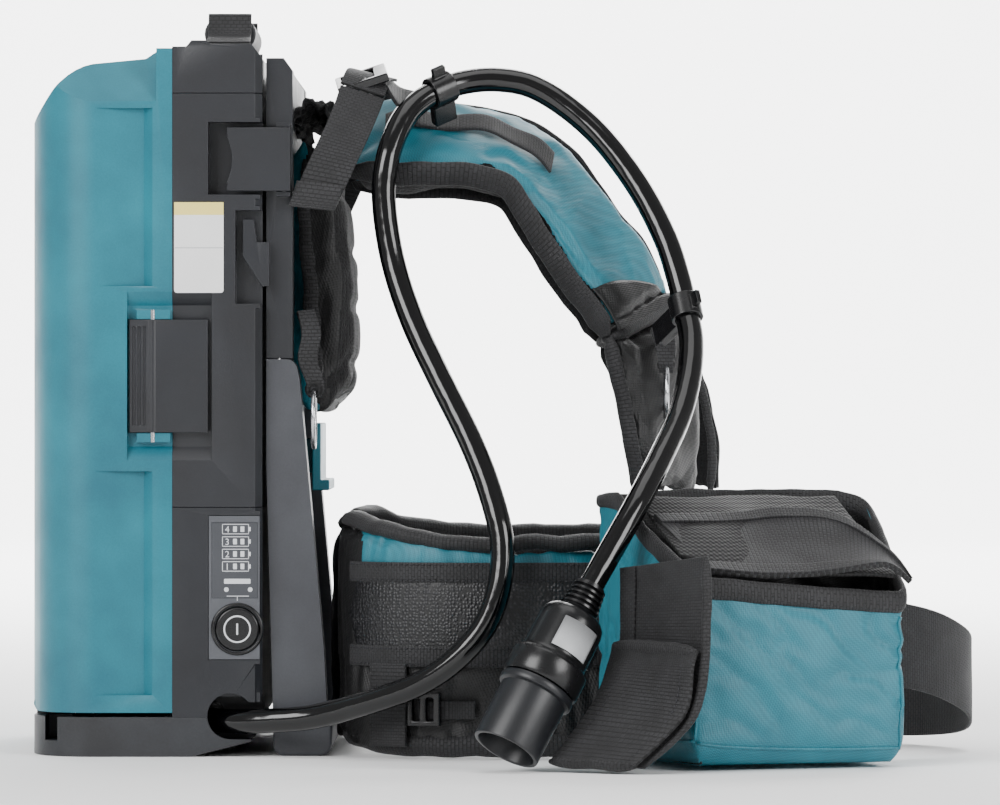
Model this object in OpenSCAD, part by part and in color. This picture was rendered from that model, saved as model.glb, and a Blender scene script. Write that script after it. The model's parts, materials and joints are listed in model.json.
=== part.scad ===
// Backpack battery power supply on a padded harness, with its output cord.
// Origin: middle of the base's underside. +X runs from the cover to the wearer, +Z is up,
// and the wearer's right side is -Y. X = 0 is the face where the cover meets the housing.

/* [Pack] */
// Width of the pack across the wearer's back
unit_w = 300; // [270:1:360]
// Height of the cover's top above the ground
unit_h = 402; // [385:1:485]
// Depth of the cover, from its rim to its outer face
cover_d = 81; // [80:1:98]
// Depth of the housing behind the rim
housing_d = 51; // [50:1:62]
// Wall of the cover and of the housing
wall = 3; // [2.4:0.1:3.6]
// Height of the base tray
base_h = 22.5; // [22:0.5:28]
// Gap between the base tray and the closed cover
cover_gap = 2.5; // [2:0.1:4]

/* [Cover hinge] */
// Radius of the hinge barrels and of the cover's lower corner
barrel_r = 4; // [3.5:0.1:4.5]
// Radius of the cover's hinge pins
hinge_pin_r = 2; // [1.5:0.1:2.4]
// Distance of each hinge from the middle
hinge_y = 90; // [60:1:110]
// Width of each hinge tab
tab_w = 20; // [14:1:30]

/* [Latches and levers] */
// Height of the latch plate
latch_h = 64; // [50:1:70]
// Height of the latch's middle above the ground
latch_z = 216; // [200:1:230]
// Radius of the latch and lever pins
small_pin_r = 1.5; // [1.2:0.1:1.8]
// Height of the release lever
lever_h = 36; // [30:1:40]
// Height of the lever's middle above the ground
lever_z = 339; // [330:1:345]

/* [Batteries] */
// Length of a battery pack, along its slide
batt_l = 115; // [100:1:116]
// Width of a battery pack
batt_w = 75; // [60:1:80]
// Height of a battery pack
batt_h = 65; // [50:1:70]
// Side to side pitch of the battery packs
batt_pitch_y = 96; // [92:1:110]
// Height of the lower packs' underside
batt_z0 = 111; // [111:1:120]
// Pitch between the lower and the upper packs
batt_pitch_z = 110; // [96:1:112]

/* [Panel] */
// Radius of the power button
button_r = 12.5; // [10:0.5:13]
// Travel of the power button
button_travel = 2.5; // [1:0.1:3]

/* [Harness] */
// How far the harness frame stands in from the pack's sides
frame_inset = 12; // [10:1:18]
// Half width of the back pad
pad_y = 108; // [90:1:110]
// Thickness of the shoulder pads
shoulder_t = 14; // [10:1:18]
// Thickness of the hip belt
belt_t = 14; // [10:1:16]
// Thickness of webbing
web_t = 2; // [1.5:0.1:2.5]
// Centre radius of a split ring
ring_r = 16.5; // [14:0.5:18]
// Wire radius of a split ring
ring_wire = 1.3; // [1:0.1:1.5]

/* [Cord and plug] */
// Diameter of the output cord
cord_d = 14; // [10:0.5:14]
// Outer radius of the plug's sleeve
sleeve_r = 19; // [18:0.5:22]
// Length of the plug's open sleeve
sleeve_l = 39; // [34:1:44]

/* [Hidden] */
$fn = 48;
eps = 0.1;
fit = 0.3;          // gap between neighbours that only lie next to each other
run = 0.05;         // radial clearance of a pin in its bore
half_w = unit_w / 2;
frame_y = half_w - frame_inset;
pivot_x = -cover_d + barrel_r;
pivot_z = base_h + cover_gap + barrel_r;
cover_z0 = base_h + cover_gap;
dark = "#4b4c50";
teal = "#3f97a3";
mid_grey = "#67686d";
cloth = "#2b2c2f";
steel = "#b9bcc0";

// ---- Helpers -------------------------------------------------------------------------

// Outward unit normal of the edge a to b of an anticlockwise outline
function edge_out(a, b) = let (d = b - a, l = norm(d)) [d[1], -d[0]] / l;

// An anticlockwise outline moved inwards by t
function inset(p, t) = let (n = len(p)) [for (i = [0:n - 1])
    let (m = edge_out(p[(i + n - 1) % n], p[i]), q = edge_out(p[i], p[(i + 1) % n]))
    p[i] - (m + q) * t / (1 + m * q)];

// Points of a quadratic curve, both ends included
function curve3(a, b, c, n) = [for (i = [0:n]) let (t = i / n)
    a * (1 - t) * (1 - t) + b * 2 * t * (1 - t) + c * t * t];

// Points of a smooth curve through p, with n steps between neighbours
function between(a, b, c, d, t) =
    (2 * b + (c - a) * t + (2 * a - 5 * b + 4 * c - d) * t * t + (3 * b - a - 3 * c + d) * t * t * t) / 2;
function smooth(p, n) = let (m = len(p)) concat(
    [for (i = [0:m - 2]) for (j = [0:n - 1])
        between(p[max(i - 1, 0)], p[i], p[i + 1], p[min(i + 2, m - 1)], j / n)], [p[m - 1]]);

// Unit direction of travel at point i of a path
function along(p, i) = let (d = p[min(i + 1, len(p) - 1)] - p[max(i - 1, 0)]) d / norm(d);

// Closed skin over rings that turn anticlockwise about the direction of travel
module loft(rings) {
    n = len(rings[0]);
    m = len(rings);
    sides = [for (i = [0:m - 2]) for (j = [0:n - 1]) let (k = (j + 1) % n)
        each [[i * n + j, i * n + n + j, i * n + n + k], [i * n + j, i * n + n + k, i * n + k]]];
    ends = [[for (j = [0:n - 1]) j], [for (j = [0:n - 1]) m * n - 1 - j]];
    polyhedron(points = [for (r = rings) each r], faces = concat(sides, ends));
}

// Flat strap between two edge lines; its outer face is e x travel, from edge a to edge b
module ribbon(a, b, t) {
    mids = (a + b) / 2;
    loft([for (i = [0:len(a) - 1])
        let (e = b[i] - a[i], f = cross(e, along(mids, i)), w = f / norm(f) * t)
        [a[i], b[i], b[i] - w, a[i] - w]]);
}

// Upright band along a plan path [x, y, bottom z, top z], from offset r0 to r1 on its right
module band(p, r0, r1) {
    plan = [for (q = p) [q[0], q[1]]];
    loft([for (i = [0:len(p) - 1])
        let (t = along(plan, i), s = [t[1], -t[0]], u = plan[i] + s * r1, v = plan[i] + s * r0)
        [[u[0], u[1], p[i][2]], [v[0], v[1], p[i][2]],
         [v[0], v[1], p[i][3]], [u[0], u[1], p[i][3]]]]);
}

// Round tube along a path, without twist
function tube_rings(p, r, n) = let (start = cross(along(p, 0), [0, 0, 1])) [
    for (i = 0, u = start / norm(start); i < len(p);
         i = i + 1, u = i < len(p) ? let (t = along(p, i), w = u - t * (u * t)) w / norm(w) : u)
        let (t = along(p, i), v = cross(t, u))
        [for (k = [0:n - 1]) p[i] + (u * cos(360 * k / n) + v * sin(360 * k / n)) * r]];

// A box by its lowest and highest corners
module box(lo, hi) {
    translate(lo) cube(hi - lo);
}

// A plan or a side outline made solid
module upright(p, z0, z1) {
    translate([0, 0, z0]) linear_extrude(z1 - z0) polygon(p);
}
module sideways(p, y0, y1) {
    translate([0, y1, 0]) rotate([90, 0, 0]) linear_extrude(y1 - y0) polygon(p);
}

// A round bar along Y
module bar_y(x, z, r, y0, y1) {
    translate([x, y0, z]) rotate([-90, 0, 0]) cylinder(r = r, h = y1 - y0);
}

// The same on both sides of the pack
module both() {
    children();
    mirror([0, 1, 0]) children();
}

// ---- Cover ---------------------------------------------------------------------------

// Side outline: rim at X = 0, sloped shoulder at the top, rounded hinge corner below
function cover_side() = concat(
    [[0, cover_z0], [0, unit_h], [-9, unit_h], [-16, unit_h - 5]],
    curve3([-46, unit_h - 8], [-58, unit_h - 10], [-cover_d + 12, unit_h - 24], 5),
    [[-cover_d, unit_h - 41]],
    [for (a = [180:15:270]) [pivot_x + barrel_r * cos(a), pivot_z + barrel_r * sin(a)]]);
// Plan outline: long curved corners towards the outer face
function cover_plan() = concat(
    [[0, -half_w], [0, half_w]],
    curve3([-48, half_w], [-76, half_w - 4], [-cover_d, half_w - 42], 7),
    curve3([-cover_d, -half_w + 42], [-76, -half_w + 4], [-48, -half_w], 7));
// An inset outline opened at the rim
function open_rim(p) = [for (q = p) [q[0] > -wall - 1 ? 1 : q[0], q[1]]];

// Outline seen from the wearer: upright sides, sloped top corners
flange_x = -9;
shoulder_w = 26;
shoulder_h = 22;
function cover_front() = [[-half_w, 0], [half_w, 0], [half_w, unit_h - 8 - shoulder_h],
    [half_w - shoulder_w, unit_h], [-half_w + shoulder_w, unit_h], [-half_w, unit_h - 8 - shoulder_h]];
module cover_block(side, plan, front, rim) {
    intersection() {
        sideways(side, -half_w - 1, half_w + 1);
        upright(plan, 0, unit_h + 10);
        union() {
            rotate([90, 0, 90]) translate([0, 0, -cover_d - 5]) linear_extrude(cover_d + 10) polygon(front);
            box([rim, -half_w, 0], [2, half_w, unit_h]);
        }
    }
}

// Shallow panels pressed into the cover's sides, deepest next to the rim
panel_depth = 4.5;
panel_x0 = -44;
panel_x1 = -16;
module side_panel(z0, z1) {
    upright([[panel_x0, -half_w - eps], [panel_x1 + 5, -half_w - eps],
             [panel_x1, -half_w + panel_depth]], z0, z1);
}
module side_panel_back(z0, z1) {
    upright([[panel_x0, -half_w + wall / 2], [panel_x1 + 8, -half_w + wall / 2],
             [panel_x1 + 5, -half_w + panel_depth + wall]], z0 - wall, z1 + wall);
}

// Latch recess across the rim, well behind the latch's thumb end, and lugs for its pin
latch_x0 = -24;
latch_x1 = 20.4;
latch_pin_x = -11;
latch_pin_y = -half_w + 1;
latch_half_t = 2.3;
latch_z0 = latch_z - latch_h / 2;
latch_z1 = latch_z + latch_h / 2;
well_depth = 11.5;
recess_depth = 5;
recess_slope = 8;
recess_rise = 16;
lug_h = 5.2;
module latch_recess(x0, x1, grow) {
    y0 = -half_w - (grow > 0 ? -1 : eps);
    y1 = -half_w + recess_depth + grow;
    translate([x0, 0, 0]) rotate([90, 0, 90]) linear_extrude(x1 - x0) polygon([
        [y0, latch_z0 - recess_rise - grow], [y1, latch_z0 - recess_rise + recess_slope - grow],
        [y1, latch_z1 + recess_rise - recess_slope + grow], [y0, latch_z1 + recess_rise + grow]]);
}
module latch_well(grow) {
    box([latch_x0 - 1.5 - grow, -half_w + (grow > 0 ? 1 : -eps), latch_z0 - fit - grow],
        [-4 + grow, -half_w + well_depth + grow, latch_z1 + fit + grow]);
}
module latch_lug(z) {
    box([latch_x0 + 4, -half_w - 1.2, z], [-1, -half_w + recess_depth + 1, z + lug_h]);
}
module latch_hole(r) {
    translate([latch_pin_x, latch_pin_y, latch_z0 - fit - lug_h])
        cylinder(r = r, h = latch_h + 2 * (lug_h + fit));
}
module cover() {
    z_low = cover_z0 + 10;
    z_high = unit_h - 34;
    color(teal) difference() {
        union() {
            difference() {
                cover_block(cover_side(), cover_plan(), cover_front(), flange_x);
                cover_block(open_rim(inset(cover_side(), wall)), open_rim(inset(cover_plan(), wall)),
                            inset(cover_front(), wall), 1.5);
            }
            both() {
                side_panel_back(z_low, latch_z0 - recess_rise - 6);
                side_panel_back(latch_z1 + recess_rise + 3, z_high);
                latch_recess(latch_x0 - 1.5 - recess_wall, 0, recess_wall);
                latch_well(recess_wall);
                bar_y(pivot_x, pivot_z, barrel_r - 0.1, hinge_y - tab_w / 2 - 12, hinge_y + tab_w / 2 + 12);
            }
        }
        both() {
            side_panel(z_low, latch_z0 - recess_rise - 6);
            side_panel(latch_z1 + recess_rise + 3, z_high);
            difference() {
                latch_recess(latch_x0 - 1.5, 1, 0);
                for (z = [latch_z0 - fit - lug_h, latch_z1 + fit]) latch_lug(z);
            }
            latch_well(0);
            latch_hole(small_pin_r);
            bar_y(pivot_x, pivot_z, hinge_pin_r + run, hinge_y - tab_w, hinge_y + tab_w);
            box([-cover_d - 1, hinge_y - tab_w / 2 - 0.5, cover_z0 - 1],
                [pivot_x + barrel_r + 3, hinge_y + tab_w / 2 + 0.5, pivot_z + barrel_r + 3]);
        }
    }
}
module latch_pins() {
    color(steel) both() latch_hole(small_pin_r);
}
// Latch plate: thumb end with ribs on the left of its pin, keeper plate over the housing
module latch_plate() {
    difference() {
        union() {
            box([latch_x0, latch_pin_y - latch_half_t, latch_z0],
                [latch_x1, latch_pin_y + latch_half_t - 0.3, latch_z1]);
            translate([latch_pin_x, latch_pin_y, latch_z0]) cylinder(r = 2.9, h = latch_h);
        }
        translate([latch_pin_x, latch_pin_y, latch_z0 - 1])
            cylinder(r = small_pin_r + run, h = latch_h + 2);
        for (i = [0:2]) translate([latch_x0 + 1.6 + i * 3, latch_pin_y - latch_half_t, latch_z0 + 4])
            box([0, -1, 0], [1.6, 0.9, latch_h - 8]);
    }
}
module latch_right() {
    color(dark) latch_plate();
}
module latch_left() {
    color(dark) mirror([0, 1, 0]) latch_plate();
}

// ---- Housing and base ----------------------------------------------------------------

top_split = unit_h - 25.5;
low_split = 141.5;
house_top = unit_h + 2.5;
function housing_side() = [[0, base_h], [housing_d, base_h], [housing_d, house_top - 8],
    [housing_d - 6, house_top], [22, house_top], [19, house_top + 2], [11, house_top + 2],
    [8, house_top - 1.5], [0, house_top - 1.5]];
function housing_plan() = [[0, -half_w], [housing_d - 4, -half_w], [housing_d, -half_w + 4],
    [housing_d, half_w - 4], [housing_d - 4, half_w], [0, half_w]];

// Places of the recesses in the housing's sides
lever_z0 = lever_z - lever_h / 2;
lever_z1 = lever_z + lever_h / 2;
lever_well = 12;
hook_z0 = 257;
hook_z1 = 310;
hook_x = 36;
hook_well = 10;
panel_z0 = 55;
panel_z1 = 137;
panel_x = 20.5;
panel_well = 2;
button_x = 37;
button_z = 72.5;
button_pit = 7.5 + button_travel;
cord_x = 20;
cord_z = 20;
arch_x = 33;
arch_z = 23;
arch_r = 13;
cave_y = -100;          // back of the cave that the cord starts in
recess_wall = 2.5;
hand_y = 50;
hand_depth = 24;
hand_x0 = 9;

module recess(x0, x1, z0, z1, depth, grow) {
    box([x0 - grow, -half_w - (grow > 0 ? 0 : eps), z0 - grow], [x1, -half_w + depth + grow, z1 + grow]);
}
module side_recesses(grow) {
    edge = housing_d - (grow > 0 ? 1 : -1);
    both() {
        recess(panel_x, edge, lever_z0 - 2, lever_z1 + 3, lever_well, grow);
        recess(hook_x, edge, hook_z0, hook_z1, hook_well, grow);
    }
    recess(panel_x, housing_d - 1, panel_z0, panel_z1, panel_well, grow);
}
module cord_cave(grow) {
    box([cord_x - 12 - grow, -half_w + (grow > 0 ? 1 : 3.5), 8 - grow],
        [housing_d + (grow > 0 ? -1 : 1), cave_y + grow, 34 + grow]);
}
module cord_arch() {
    bar_y(arch_x, arch_z, arch_r, -half_w - 1, -half_w + 4);
    box([arch_x, -half_w - 1, arch_z - arch_r], [housing_d + 1, -half_w + 4, arch_z + 8]);
}
module hand_well(grow) {
    box([hand_x0 - grow, -hand_y - grow, house_top - hand_depth - grow],
        [housing_d - wall, hand_y + grow, house_top + (grow > 0 ? -1 : 5)]);
}
screw_y = half_w - 22;
screw_z = [152, 252, 352];
module at_screws() {
    both() for (z = screw_z) translate([0, screw_y, z]) rotate([0, 90, 0]) children();
}

module housing_whole() {
    difference() {
        union() {
            difference() {
                intersection() {
                    sideways(housing_side(), -half_w - 1, half_w + 1);
                    upright(housing_plan(), 0, house_top + 10);
                }
                intersection() {
                    box([-1, -half_w + wall, base_h + wall],
                        [housing_d - wall, half_w - wall, house_top - wall]);
                    box([-1, -half_w, 0], [housing_d, half_w, unit_h + 20]);
                }
            }
            intersection() {
                union() {
                    side_recesses(recess_wall);
                    cord_cave(recess_wall);
                    hand_well(recess_wall);
                    both() latch_recess(0, latch_x1 + 2 + recess_wall, recess_wall);
                    at_screws() translate([0, 0, chassis_x + chassis_t])
                        cylinder(r = 5, h = housing_d - 1 - chassis_x - chassis_t);
                }
                box([0, -half_w, base_h], [housing_d, half_w, house_top]);
            }
        }
        side_recesses(0);
        cord_cave(0);
        cord_arch();
        hand_well(0);
        bar_y(button_x, button_z, button_r + fit, -half_w - 1, -half_w + button_pit);
        at_screws() translate([0, 0, chassis_x]) cylinder(r = 2, h = 6);
        both() latch_recess(-1, latch_x1 + 2, 0);
    }
}
split_gap = 0.15;
module housing_slice(z0, z1) {
    color(dark) intersection() {
        housing_whole();
        box([-5, -half_w - 5, z0 + split_gap], [housing_d + 5, half_w + 5, z1 - split_gap]);
    }
}
module housing_top() {
    housing_slice(top_split, house_top + 10);
}
module housing_middle() {
    housing_slice(low_split, top_split);
}
module housing_bottom() {
    housing_slice(base_h - split_gap, low_split);
}

// Skirt under the cover and the housing, with hinge tabs for the cover
module base_tray() {
    nose = 45;
    color("#3c3d41") difference() {
        union() {
            upright(concat([[nose, -half_w], [nose, half_w]],
                [for (i = [2:len(cover_plan()) - 1]) cover_plan()[i]]), 0, base_h);
            both() {
                box([pivot_x - 3, hinge_y - tab_w / 2, base_h - 1], [pivot_x + 3, hinge_y + tab_w / 2, pivot_z]);
                bar_y(pivot_x, pivot_z, barrel_r, hinge_y - tab_w / 2, hinge_y + tab_w / 2);
            }
        }
        both() bar_y(pivot_x, pivot_z, hinge_pin_r, hinge_y - tab_w, hinge_y + tab_w);
        difference() {
            box([-cover_d + 8, -half_w + 8, 9], [-4, half_w - 8, base_h + 1]);
            both() box([-cover_d, hinge_y - tab_w / 2 - 3, 0], [-cover_d + 22, hinge_y + tab_w / 2 + 3, base_h + 2]);
        }
        sideways([[7, -1], [nose + 1, -1], [nose + 1, 9]], -half_w - 1, half_w + 1);
        cord_cave(0);
        cord_arch();
    }
}
module cover_seal() {
    w = 3.2;
    color("#1d1d1f") difference() {
        box([fit, -half_w + wall + fit, base_h + wall + fit],
            [fit + 3, half_w - wall - fit, house_top - wall - 2]);
        box([-1, -half_w + wall + fit + w, base_h + wall + fit + w],
            [fit + 4, half_w - wall - fit - w, house_top - wall - 2 - w]);
        hand_well(recess_wall + fit);
        cord_cave(recess_wall + fit);
        both() latch_recess(-1, 8, recess_wall + fit);
    }
}
module hinge_pins() {
    color(steel) both() {
        bar_y(pivot_x, pivot_z, hinge_pin_r, hinge_y - tab_w + 0.5, hinge_y + tab_w - 0.5);
        translate([lever_pin_x, lever_pin_y, lever_z0 - ear_t - fit])
            cylinder(r = small_pin_r, h = lever_h + 2 * (ear_t + fit));
    }
}

// ---- Inside --------------------------------------------------------------------------

chassis_t = 3;
chassis_x = housing_d - wall - 4;
chassis_y = half_w - lever_well - recess_wall - 0.5;
shelf_t = 2.5;
batt_x0 = chassis_x - 3 - batt_l;
module at_batteries() {
    for (row = [0:1]) for (side = [-1, 1])
        translate([0, side * batt_pitch_y / 2, batt_z0 + row * batt_pitch_z]) children();
}
module chassis() {
    color("#55575c") difference() {
        union() {
            box([chassis_x, -chassis_y, batt_z0 - 3], [chassis_x + chassis_t, chassis_y, unit_h - 34]);
            at_batteries() {
                box([batt_x0 + 4, -batt_w / 2 - 4, -fit - shelf_t],
                    [chassis_x + 1, batt_w / 2 + 4, -fit]);
                for (side = [-1, 1]) translate([0, side * (batt_w / 2 + fit + 1.2), 0])
                    box([batt_x0 + 14, -1.2, -1], [chassis_x + 1, 1.2, 24]);
            }
        }
        at_screws() translate([0, 0, chassis_x - 1]) cylinder(r = 2, h = chassis_t + 2);
    }
}
module chassis_screws() {
    color(steel) at_screws() {
        translate([0, 0, chassis_x - 2.5]) cylinder(r = 4, h = 2.5);
        translate([0, 0, chassis_x - 0.5]) cylinder(r = 2, h = 6);
    }
}
module terminal_blocks() {
    color("#c8b23a") at_batteries() difference() {
        box([chassis_x - 2.5, -24, 14], [chassis_x, 24, 44]);
        for (y = [-14, 0, 14]) box([chassis_x - 3, y - 2, 18], [chassis_x - 1, y + 2, 40]);
    }
}
btn_w = 22;
btn_h = 9;
btn_depth = 6;
module battery_body() {
    color("#26272a") difference() {
        box([batt_x0, -batt_w / 2, 0], [batt_x0 + batt_l, batt_w / 2, batt_h]);
        both() sideways([[batt_x0 - 1, batt_h - 8], [batt_x0 + 9, batt_h + 1], [batt_x0 - 1, batt_h + 1]], -60, 60);
        both() box([batt_x0 - 1, batt_w / 2 - 3, 28], [batt_x0 + batt_l + 1, batt_w / 2 + 1, 33]);
        box([batt_x0 - 1, -btn_w / 2 - fit, 40 - fit],
            [batt_x0 + btn_depth, btn_w / 2 + fit, 40 + btn_h + fit]);
    }
}
module battery_release() {
    color("#a02b2b") box([batt_x0 + 0.4, -btn_w / 2, 40], [batt_x0 + btn_depth - 2.4, btn_w / 2, 40 + btn_h]);
}
module in_bay(side, row) {
    translate([0, side * batt_pitch_y / 2, batt_z0 + row * batt_pitch_z]) children();
}
module battery_1() in_bay(-1, 0) battery_body();
module battery_2() in_bay(1, 0) battery_body();
module battery_3() in_bay(-1, 1) battery_body();
module battery_4() in_bay(1, 1) battery_body();
module battery_button_1() in_bay(-1, 0) battery_release();
module battery_button_2() in_bay(1, 0) battery_release();
module battery_button_3() in_bay(-1, 1) battery_release();
module battery_button_4() in_bay(1, 1) battery_release();

board_y = -half_w + 12;
module controller_board() {
    color("#2f6b3f") box([8, board_y, 46], [chassis_x - 1, board_y + 1.6, 104]);
    color("#26272a") {
        box([12, board_y + 1.6, 52], [26, board_y + 4, 66]);
        for (z = [78, 92]) translate([16, board_y + 1.6, z]) rotate([-90, 0, 0]) cylinder(r = 5, h = 14);
        translate([34, board_y + 1.6, 84]) rotate([-90, 0, 0]) cylinder(r = 6, h = 16);
    }
}
module control_panel() {
    x1 = housing_d - 1 - fit;
    color("#77787c") difference() {
        box([panel_x + fit, -half_w + 0.3, panel_z0 + fit], [x1, -half_w + panel_well, panel_z1 - fit]);
        bar_y(button_x, button_z, button_r + fit, -half_w - 1, -half_w + button_pit);
        box([panel_x + 2 - eps, -half_w, 90], [x1 - 1, -half_w + 1, panel_z1 - 4]);
    }
}
module indicator_lens() {
    color("#8d8f93") box([panel_x + 2, -half_w + 0.2, 90.1], [housing_d - 2.4, -half_w + 1, panel_z1 - 4.1]);
}
module power_button() {
    color("#1c1c1e") translate([button_x, -half_w - 1.2, button_z]) rotate([-90, 0, 0])
        rotate_extrude() polygon([[0, 0], [button_r - 1, 0], [button_r, 1], [button_r, 6], [0, 6]]);
}
gland_r = 10.5;
gland_l = 10;
module cable_gland() {
    color("#1c1c1e") translate([cord_x, cave_y, cord_z]) rotate([90, 0, 0]) difference() {
        union() {
            cylinder(r = gland_r, h = gland_l * 0.6, $fn = 6);
            cylinder(r = gland_r - 1.5, h = gland_l);
        }
        translate([0, 0, 2]) cylinder(r = cord_d / 2 - 2, h = gland_l);
    }
}

// ---- Carrying handle -----------------------------------------------------------------

handle_x = 29;
handle_w = 25;
grip_r = 10;
grip_z = house_top + grip_r + 1;
module handle_strap() {
    line = [[0, -76, house_top + web_t + 2.2], [0, -66, house_top + web_t + 2.4],
            [0, -58, grip_z - 4], [0, -hand_y, grip_z + 3]];
    color(cloth) both() ribbon(
        [for (p = smooth(line, 3)) p + [handle_x + handle_w / 2, 0, 0]],
        [for (p = smooth(line, 3)) p + [handle_x - handle_w / 2, 0, 0]], web_t);
}
module handle_grip() {
    side = 5;
    color("#38393c") sideways(concat(
        [for (a = [-90:15:90]) [handle_x + side + grip_r * cos(a), grip_z + grip_r * sin(a)]],
        [for (a = [90:15:270]) [handle_x - side + grip_r * cos(a), grip_z + grip_r * sin(a)]]),
        -hand_y + 0.6, hand_y - 0.6);
}

// ---- Harness frame -------------------------------------------------------------------

frame_x0 = housing_d + 2;
frame_mid = 226;
rail_w = 26;
rail_x1 = 68;
ear_t = 2.5;
lever_pin_x = 63;
lever_pin_y = -frame_y - 5;
module frame_upper() {
    color(dark) difference() {
        union() {
            both() {
                sideways([[frame_x0, frame_mid], [rail_x1, frame_mid], [rail_x1, unit_h - 12],
                          [rail_x1 - 5, unit_h - 5], [frame_x0, unit_h - 5]], -frame_y, -frame_y + rail_w);
                for (z = [lever_z0 - ear_t - fit, lever_z1 + fit])
                    box([lever_pin_x - 4, lever_pin_y - 4, z], [lever_pin_x + 4, -frame_y + 1, z + ear_t]);
                // hook that reaches into the housing's side
                sideways([[frame_x0 + 2, hook_z0 + 10], [frame_x0 + 2, hook_z1 - 18],
                          [housing_d - 3, hook_z1 - 18], [housing_d - 5, hook_z1 - 5], [hook_x + 4, hook_z1 - 5],
                          [hook_x + 4, hook_z1 - 26], [housing_d, hook_z0 + 10]],
                         -half_w + 4, -half_w + hook_well - fit);
                box([frame_x0, -half_w + 4, hook_z0 + 10], [frame_x0 + 2, -frame_y + 1, hook_z1 - 18]);
            }
            box([frame_x0 + 7, -frame_y + 5, frame_mid], [rail_x1 - 0.5, frame_y - 5, unit_h - 12]);
        }
        both() translate([lever_pin_x, lever_pin_y, lever_z0 - 10]) cylinder(r = small_pin_r, h = lever_h + 20);
    }
}
foot_h = 20;
function leg_side() = concat(
    [[frame_x0 + 4, foot_h + 0.2], [rail_x1 + 20, foot_h + 0.2], [rail_x1 + 18, 60],
     [rail_x1 + 4, frame_mid - 12]],
    curve3([rail_x1 + 3, frame_mid - 7], [rail_x1 + 2, frame_mid - 0.3], [rail_x1 - 4, frame_mid - 0.3], 4),
    [[frame_x0, frame_mid - 0.3], [frame_x0, frame_mid - 60]]);
module frame_lower() {
    color(mid_grey) {
        both() sideways(leg_side(), -frame_y - 2, -frame_y + rail_w);
        box([frame_x0 + 7, -frame_y + 5, foot_h + 0.2], [rail_x1 - 0.5, frame_y - 5, frame_mid - 0.3]);
    }
}
module frame_foot() {
    x0 = frame_x0 + 4;
    x1 = rail_x1 + 22.5;
    color(mid_grey) sideways(concat(
        curve3([x0, 7], [x0, 0], [x0 + 7, 0], 4), curve3([x1 - 7, 0], [x1, 0], [x1, 7], 4),
        [[x1, foot_h], [x0, foot_h]]), -frame_y - 2, frame_y + 2);
}
// Teal plate that carries the back pad's lower end
module yoke_plate() {
    y = 60;
    color(teal) {
        box([77, -y, 150], [82, y, 189]);
        box([77, -y, 150], [87, y, 156]);
        both() box([rail_x1 - 0.5, 20, 160], [78, 40, 180]);
    }
}
module lever_plate() {
    inner = 3.8;
    outer = 8;
    difference() {
        union() {
            translate([0, lever_pin_y, 0])
                box([31, -outer, lever_z0], [lever_pin_x + 4, -inner, lever_z1]);
            translate([lever_pin_x, lever_pin_y, lever_z0]) cylinder(r = 4, h = lever_h);
        }
        translate([lever_pin_x, lever_pin_y, lever_z0 - 1]) cylinder(r = small_pin_r + run, h = lever_h + 2);
        bar_y(31 - 27, lever_z, 30, -half_w - 10, -frame_y);
    }
}
module release_lever_right() {
    color(dark) lever_plate();
}
module release_lever_left() {
    color(dark) mirror([0, 1, 0]) lever_plate();
}

// ---- Harness -------------------------------------------------------------------------

module back_pad() {
    x0 = rail_x1 + 0.5;
    color(teal) sideways(concat([[x0, 198], [75, 190.5], [88, 190.5]],
        smooth([[94, 205], [97, 237], [95, 289], [89, 329], [80, 352]], 3), [[x0, 357]]), -pad_y, pad_y);
}

// Edge lines of the right shoulder pad: neck side and arm side, from the back forwards
pad_neck = [[92, -60, 358], [108, -60, 371], [128, -62, 380], [152, -62, 379], [176, -62, 376],
    [194, -62, 372], [211, -62, 365], [232, -62, 350], [246, -62, 331], [259, -62, 313],
    [273, -62, 296], [283, -62, 277], [290, -62, 262]];
pad_arm = [[94, -118, 338], [108, -126, 338], [129, -130, 337], [152, -130, 338], [174, -130, 336],
    [192, -130, 330], [204, -130, 314], [216, -130, 295], [227, -130, 278], [236, -130, 266],
    [244, -130, 256], [249, -130, 248], [252, -130, 241]];
tail_neck = [[291, -62, 259], [297, -62, 240], [302, -62, 215], [303, -60, 190], [302, -58, 168],
    [300, -58, 146]];
tail_arm = [[252, -130, 239], [255, -130, 222], [260, -130, 202], [264, -130, 182], [267, -128, 164],
    [270, -126, 148]];
module shoulder(neck, arm, t) {
    ribbon(smooth(neck, 2), smooth(arm, 2), t);
}
module shoulder_pad_right() {
    color(teal) shoulder(pad_neck, pad_arm, shoulder_t);
}
module shoulder_pad_left() {
    color(teal) mirror([0, 1, 0]) shoulder(pad_neck, pad_arm, shoulder_t);
}
module shoulder_tail_right() {
    color(cloth) shoulder(tail_neck, tail_arm, shoulder_t * 0.6);
}
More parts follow.
